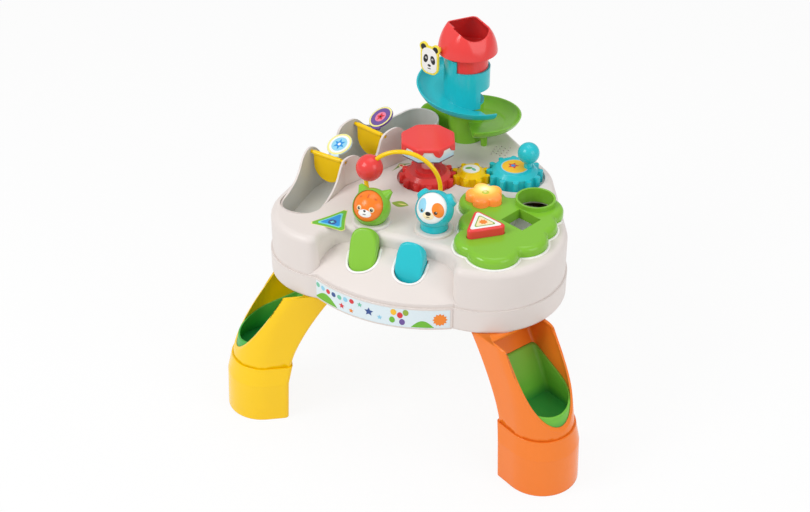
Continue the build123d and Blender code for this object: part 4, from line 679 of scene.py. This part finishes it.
draw("fox", face_ball(FOX, 0), "fox", [
    ("cheeks", oval(0, -11.5, 9.5, 5.2), "white", "face_white", 1),
    *pair("eye_ring", 9.3, -5, (3.6, 3.6), "cream", "orange", 1),
    *pair("eye", 9.3, -5.4, (2.1, 2.1), "ink", "dark_plastic", 2),
    *pair("glint", 9.3, -4.6, (0.7, 0.7), "white", "face_white", 3, shift=0.6),
    ("nose", rounded([(-3.4, -7.2), (0, -10.4), (3.4, -7.2)], 1), "ink", "dark_plastic", 2),
    *pair("stripe", 11, 10.5, (2.2, 1), "deep_orange", "orange", 1, turn=30),
    ("brow", oval(0, 13, 1.2, 3), "deep_orange", "orange", 1),
    ("mouth", oval(0, -13, 2.6, 0.5), "ink", "dark_plastic", 2),
])
draw("dog", face_ball(DOG, DOG_LIFT), "dog", [
    ("left_patch", oval(-11.2, 1, 6.4, 10.5, 8), "sky", "pale_blue", 1),
    ("right_patch", oval(11.8, -1.5, 7.6, 10, 20), "orange", "orange", 1),
    *pair("eye", 10, -6, (2.1, 2.1), "ink", "dark_plastic", 2),
    *pair("glint", 10, -5.2, (0.7, 0.7), "white", "face_white", 3, shift=0.6),
    ("muzzle", oval(0, -11.5, 8, 5), "cream", "face_white", 1),
    ("nose", oval(0, -9, 4, 2.7), "ink", "dark_plastic", 2),
    ("mouth", oval(0, -13.6, 3, 0.5), "ink", "dark_plastic", 2),
])

# Badge on the tower: a plain black and white bear's face
badge_place = polar(TOWER, BADGE_REACH, BADGE_ANGLE)
badge_out = Vector((*polar((0, 0), 1, BADGE_LOOK), 0))
badge_across = (-badge_out.y, badge_out.x, 0)
badge_origin = table_point(*badge_place, DECK_Z + BADGE_Z) + badge_out * BADGE_THICK * MM
draw("badge", flat(badge_origin, badge_across, badge_out), "table", [
    *pair("ear", 11, 19.5, (5, 5), "ink", "dark_plastic", 0),
    ("face", rounded([(-14, -20), (14, -20), (14, 20), (-14, 20)], 11), "white", "face_white", 1),
    *pair("patch", 6.6, 2, (4.2, 7), "ink", "dark_plastic", 2, turn=-14),
    *pair("eye", 6, 3, (1.7, 1.7), "white", "face_white", 3),
    *pair("pupil", 6, 2.8, (0.9, 0.9), "ink", "dark_plastic", 4, shift=0.2),
    ("nose", oval(0, -8, 3, 2), "ink", "dark_plastic", 2),
    ("mouth", oval(0, -13, 3.4, 0.7), "ink", "dark_plastic", 2),
])

# Medallions on the flaps, which lean back and turn with their bars
MEDALLION_PRINTS = {
    "front": [
        ("rim", oval(0, 0, 19.2), "lemon", "badge_yellow", 0),
        ("ground", oval(0, 0, 16.2), "white", "face_white", 1),
        ("ring", oval(0, 0, 12.6), "sky", "pale_blue", 2),
        ("star", star(0, 0, 10, 4.6, 6), "blue", "pale_blue", 3),
        ("dot", oval(0, 0, 2.4), "white", "face_white", 4),
    ],
    "rear": [
        ("rim", oval(0, 0, 19.2), "lemon", "badge_yellow", 0),
        ("ground", oval(0, 0, 16.6), "purple", "purple", 1),
        ("ring", oval(0, 0, 9.2), "pink", "red", 2),
        ("star", star(0, 0, 7.6, 3.8, 5), "red", "red", 3),
        ("dot", oval(0, 0, 1.9), "ink", "dark_plastic", 4),
    ],
}
for name, at in MEDALLIONS.items():
    turn = math.radians(at["turn"])
    lean = math.radians(MEDALLION_LEAN)
    along = Vector((math.cos(turn), math.sin(turn) * math.cos(lean), -math.sin(turn) * math.sin(lean)))
    upward = Vector((0, math.sin(lean), math.cos(lean)))
    out = along.cross(upward)
    pivot = table_point(*at["point"], DECK_Z + at["z"])
    centre = pivot + (along * MEDALLION_AT[0] + upward * MEDALLION_AT[1] + out * MEDALLION_TOP) * MM
    draw(name + "_medallion", flat(centre, along, out), name + "_flap", MEDALLION_PRINTS[name])


# Emblems on the gears and buttons
def level_top(place, height):
    """The level plane at a height over the deck."""
    return flat(table_point(*place, DECK_Z + height), SIDEWAYS, (0, 0, 1))


def triangle_corners(reach):
    return [polar((0, 0), reach, TRIANGLE_TURN + 120 * side) for side in range(3)]


draw("blue_gear", level_top(BLUE_GEAR, BLUE_GEAR_TOP), "crank", [
    ("ring", oval(0, 0, 20.5), "sky", "teal", 0),
    ("ground", oval(0, 0, 19), "sun", "orange", 1),
    ("star", star(-3, 1, 9, 4.4, 5), "red", "red", 2),
    ("moon", oval(-3, 1, 3.2), "blue", "teal", 3),
])
draw("yellow_gear", level_top(YELLOW_GEAR, YELLOW_GEAR_TOP), "idler", [
    ("rim", oval(0, 0, 13.4), "lemon", "yellow", 0),
    ("ground", oval(0, 0, 12), "white", "face_white", 1),
    ("left_leaf", oval(-4, 0.5, 5.4, 2.8, 35), "green", "lime", 2),
    ("right_leaf", oval(4.2, -0.5, 4.8, 2.4, -40), "mint", "lime", 2),
])
draw("triangle", level_top(TRIANGLE, TRIANGLE_TOP), "triangle_button", [
    ("ground", rounded(triangle_corners(28), 3), "white", "face_white", 0),
    ("frame", rounded(triangle_corners(19), 2.5), "leaf", "lime", 1),
    ("inside", rounded(triangle_corners(15.96), 2), "cream", "face_white", 2),
    ("sun", star(0, 0, 6.6, 4.4, 8), "orange", "orange", 3),
])
draw("flower", level_top(FLOWER, FLOWER_TOP), "flower_button", [
    ("core", oval(2, -2, 5.4), "spring", "amber", 0),
    ("spot", oval(0.6, -0.6, 2.6), "lemon", "amber", 1),
])

# Stickers on the deck
DECK_STICKER = [(-150, -93), (-91, -95), (-112, -36)]
DECK_STICKER_DOT = (-118, -78)
BACK_STICKER = [(-93, 108), (-95, 80), (-72, 119)]
BACK_STICKER_DOT = (-87, 103)
deck = level_top((0, 0), 0)
draw("deck_sticker", deck, "table", [
    ("edge", drawn_in(DECK_STICKER, 1.5), "lemon", "lime", 0),
    ("rim", drawn_in(shrunk(DECK_STICKER, 0.95), 1.5), "green", "lime", 1),
    ("frame", drawn_in(shrunk(DECK_STICKER, 0.68), 1), "cyan", "pale_blue", 2),
    ("ground", drawn_in(shrunk(DECK_STICKER, 0.55), 0.8), "blue", "pale_blue", 3),
    ("dot", oval(*DECK_STICKER_DOT, 6), "navy", "dark_plastic", 4),
    ("spark", star(*DECK_STICKER_DOT, 4, 1.8, 4), "cyan", "pale_blue", 5),
])
draw("back_sticker", deck, "table", [
    ("rim", drawn_in(BACK_STICKER, 3), "leaf", "lime", 0),
    ("ground", drawn_in(shrunk(BACK_STICKER, 0.8), 2.4), "moss", "lime", 1),
    ("dot", oval(*BACK_STICKER_DOT, 4.2), "cream", "face_white", 2),
    ("core", oval(*BACK_STICKER_DOT, 2.4), "red", "red", 3),
])
draw("leaf_sticker", deck, "table", [
    ("blade", leaf_outline((-61, 1), (-35, 3), 8), "leaf", "lime", 0),
    ("vein", leaf_outline((-52, 1.5), (-37, 3), 1.6), "lemon", "lime", 1),
])

# Lips of the housing round the bush and the key slots: raised half-round lips, coloured whiter than the
# housing plastic as a painted highlight
DECK_TREE = BVHTree.FromPolygons(
    [vertex.co for vertex in nodes["top_housing"].data.vertices],
    [face.vertices for face in nodes["top_housing"].data.polygons],
)


def lip(name, path, closed, height_at):
    """A low half-round lip along a path on the housing's upper face."""
    count = len(path)
    section = LIP_STEPS + 1
    points = []
    faces = []
    for index, (x, y) in enumerate(path):
        before = path[index - 1] if closed or index else path[index]
        after = path[(index + 1) % count] if closed or index < count - 1 else path[index]
        along = Vector((after[0] - before[0], after[1] - before[1])).normalized()
        z = height_at(x, y) - LIP_SINK
        for step in range(section):
            angle = math.pi * step / LIP_STEPS
            side = LIP_HALF * math.cos(angle)
            rise = (LIP_HEIGHT + LIP_SINK) * math.sin(angle)
            points.append(table_point(x + along.y * side, y - along.x * side, z + rise))
    for index in range(count if closed else count - 1):
        here = index * section
        there = (index + 1) % count * section
        for step in range(section):
            turn = (step + 1) % section
            faces.append([here + step, there + step, there + turn, here + turn])
    if not closed:
        faces.append(list(range(section)))
        faces.append([(count - 1) * section + step for step in reversed(range(section))])
    mesh = closed_mesh(name, points, faces)
    # The lip's whiter colour is a painted highlight on the housing plastic
    mesh.materials.append(PRINTED["rim"])
    add_piece(name, mesh, "table")


def deck_height(x, y):
    """Height of the housing's upper face at a place, or zero beside the housing."""
    above = table_point(x, y, DECK_Z + RAY_RISE)
    hit = DECK_TREE.ray_cast(above, Vector((0, 0, -1)))[0]
    return hit.z / MM if hit else 0


def bush_seat(x, y):
    """Height of the deck beside the bush, or of the level deck under it."""
    height = deck_height(x, y)
    return height if height > DECK_Z - LIP_FALL else DECK_Z


def bush_point(angle, grow):
    """Where a ray from the bush's middle leaves its lobed outline, grown by a distance."""
    ray = Vector(polar((0, 0), 1, angle))
    reaches = []
    for centre, radius in BUSH_LOBES:
        offset = Vector(centre) - Vector(BUSH_MIDDLE)
        along = offset.dot(ray)
        room = (radius + grow) ** 2 - offset.length_squared + along**2
        if room > 0:
            reaches.append(along + math.sqrt(room))
    return polar(BUSH_MIDDLE, max(reaches), angle)


def bush_path():
    """The bush's outline, kept under the bush where the deck falls away beside it."""
    path = []
    for step in range(BUSH_STEPS):
        angle = 360 * step / BUSH_STEPS
        falls = deck_height(*bush_point(angle, LIP_EDGE)) < DECK_Z - LIP_FALL
        path.append(bush_point(angle, -LIP_HALF if falls else LIP_OUT))
    return path


def dash_height(x, y):
    """Height of the dashboard's sloped face at a place."""
    reach = math.hypot(x - TONGUE_CENTRE[0], y - TONGUE_CENTRE[1])
    share = (reach - DASH_REACH) / DASH_RUN
    rise = 4 * DASH_BULGE * share * (1 - share)
    return DECK_Z - DASH_STEP - share * (DASH_DROP - DASH_STEP) + rise


def key_slot_path(pivot, turn):
    """The front edge of a key's slot where its drum meets the sloped face."""
    grow = KEY_GAP + LIP_OUT
    half = KEY_HALF + grow
    curl = KEY_ROUND + grow
    slope = math.radians(DASH_SLOPE)
    local = [(-half, arm) for arm in KEY_ARMS]
    for step in range(KEY_STEPS + 1):
        x = -half + 2 * half * step / KEY_STEPS
        inside = max(abs(x) - (half - curl), 0)
        radius = KEY_RADIUS + grow - curl + math.sqrt(max(curl**2 - inside**2, 0))
        local.append((x, math.sqrt(radius**2 - KEY_DEPTH**2)))
    local += [(half, arm) for arm in reversed(KEY_ARMS)]
    cosine = math.cos(math.radians(turn))
    sine = math.sin(math.radians(turn))
    path = []
    for x, run in local:
        y = -KEY_DEPTH * math.sin(slope) - run * math.cos(slope)
        path.append((pivot[0] + x * cosine - y * sine, pivot[1] + x * sine + y * cosine))
    return path


lip("bush_lip", bush_path(), True, bush_seat)
for name, key in KEYS.items():
    lip(name + "_key_lip", key_slot_path(key["pivot"], key["turn"]), False, dash_height)


# Printed strip round the housing's front
def strip_piece(label, outline, ink, level, rings=4):
    patch("strip_" + label, outline, band(STRIP_RADIUS), ink, "table", level, rings)


def hill_outline(left, width, height, steps=16):
    """A round hill that stands just over the strip's lower edge."""
    foot = STRIP_LOW + HILL_RISE
    run = [left + width * step / steps for step in range(steps + 1)]
    crest = [(u, foot + height * math.sin(math.pi * step / steps)) for step, u in enumerate(run)]
    return crest + [(u, foot) for u in reversed(run[1:-1])]


def dot_row(inks, left, pitch, height, sag):
    """A sagging row of dots, one for each ink."""
    for index, ink in enumerate(inks):
        v = height - sag * math.sin(math.pi * index / (len(inks) - 1))
        outline = oval(left + pitch * index, v, DOT_HALF, count=DOT_POINTS)
        strip_piece(f"dot_{index}", outline, ink, 1)


run = [-STRIP_HALF + 2 * STRIP_HALF * step / STRIP_STEPS for step in range(STRIP_STEPS + 1)]
ground = [(u, STRIP_LOW) for u in run] + [(u, STRIP_HIGH) for u in reversed(run)]
strip_piece("ground", ground, "mist", 0, rings=30)
strip_piece("left_hill", hill_outline(-104, 44, 14), "green", 1)
strip_piece("right_hill", hill_outline(52, 32, 11), "green", 1)
dot_row(["mint", "sky", "red", "navy", "mint", "sky", "red"], left=-98, pitch=10.5, height=240, sag=1.6)
MARKS = [
    ("ring_a", oval(28, 240, 4.2, 5), "sun"),
    ("ring_b", oval(37, 236, 4, 5), "red"),
    ("ring_c", oval(45, 241, 4, 5), "leaf"),
    ("ring_d", oval(40, 225, 4, 5), "purple"),
    ("ring_e", oval(26, 227, 4, 5), "green"),
    ("star_a", star(-52, 226, 5, 2.4, 5), "red"),
    ("star_b", star(-36, 224, 4, 2, 5), "orange"),
    ("star_c", star(-8, 232, 7, 3.4, 5), "navy"),
    ("star_d", star(8, 227, 4, 2, 5), "sky"),
    ("star_e", star(-22, 239, 4, 2, 5), "mint"),
    ("sun", star(92, 231, 10.5, 8, 12), "orange"),
]
for label, outline, ink in MARKS:
    strip_piece(label, outline, ink, 2)

# Camera at the photo's angle, with its focal length in pixels of the photo
PHOTO_WIDTH = 810
FOCAL_PIXELS = 1450
SENSOR_WIDTH = 36
AZIMUTH = math.radians(22)
ELEVATION = math.radians(34)
camera = bpy.data.objects.new("camera", bpy.data.cameras.new("camera"))
bpy.context.scene.collection.objects.link(camera)
bpy.context.scene.camera = camera
camera.data.sensor_width = SENSOR_WIDTH
camera.data.lens = FOCAL_PIXELS / PHOTO_WIDTH * SENSOR_WIDTH
camera.location = (0.6181, -1.6927, 1.4079)
back = Vector((
    math.sin(AZIMUTH) * math.cos(ELEVATION),
    -math.cos(AZIMUTH) * math.cos(ELEVATION),
    math.sin(ELEVATION),
))
right = Vector((math.cos(AZIMUTH), math.sin(AZIMUTH), 0))
camera.rotation_euler = Matrix((right, back.cross(right), back)).transposed().to_euler()

# Floor, world and lamps, in metres
FLOOR_HALF = 6
FLOOR_DROP = 0.0005
FLOOR_WHITE = 0.9
WORLD_STRENGTH = 0.56
LAMP_TARGET = Vector((0, 0, 0.3))
LAMPS = {
    "key": {"place": (-1.2, -1.4, 1.8), "size": 1.0, "power": 22},
    "fill": {"place": (1.9, -0.7, 1.3), "size": 1.2, "power": 11},
    "top": {"place": (0.1, 0.3, 2.2), "size": 1.2, "power": 7},
}


def pale_floor():
    """Floor that is white to the eye and in reflections, and keeps the object's shadow."""
    made = Nodes("pale_floor")
    made.shader.inputs["Base Color"].default_value = (0.92, 0.92, 0.92, 1)
    made.shader.inputs["Roughness"].default_value = 0.9
    white = made.add("ShaderNodeEmission", Strength=1.0)
    rays = made.add("ShaderNodeLightPath").outputs
    seen = rays["Is Camera Ray"]
    for kind in ("Is Glossy Ray", "Is Transmission Ray"):
        seen = made.calculate("ShaderNodeMath", "MAXIMUM", seen, rays[kind]).outputs[0]
    blend = made.add("ShaderNodeMixShader")
    made.link(made.spread(seen, 0.0, FLOOR_WHITE), blend.inputs[0])
    made.link(made.shader.outputs[0], blend.inputs[1])
    made.link(white.outputs[0], blend.inputs[2])
    made.link(blend.outputs[0], made.tree.nodes["Material Output"].inputs["Surface"])
    return made.material


floor_corners = [(x * FLOOR_HALF, y * FLOOR_HALF, 0) for x, y in ((-1, -1), (1, -1), (1, 1), (-1, 1))]
floor_mesh = bpy.data.meshes.new("floor")
floor_mesh.from_pydata(floor_corners, [], [(0, 1, 2, 3)])
floor_mesh.materials.append(pale_floor())
floor = bpy.data.objects.new("floor", floor_mesh)
floor.location.z = -FLOOR_DROP
bpy.context.scene.collection.objects.link(floor)

world = bpy.data.worlds.new("studio")
bpy.context.scene.world = world
world.use_nodes = True
world.node_tree.nodes["Background"].inputs["Color"].default_value = (1, 1, 1, 1)
world.node_tree.nodes["Background"].inputs["Strength"].default_value = WORLD_STRENGTH

for name, lamp in LAMPS.items():
    light = bpy.data.lights.new(name, "AREA")
    light.size = lamp["size"]
    light.energy = lamp["power"]
    thing = bpy.data.objects.new(name, light)
    thing.location = lamp["place"]
    thing.rotation_euler = (LAMP_TARGET - Vector(lamp["place"])).to_track_quat("-Z", "Y").to_euler()
    bpy.context.scene.collection.objects.link(thing)

bpy.context.scene.view_settings.view_transform = "Standard"
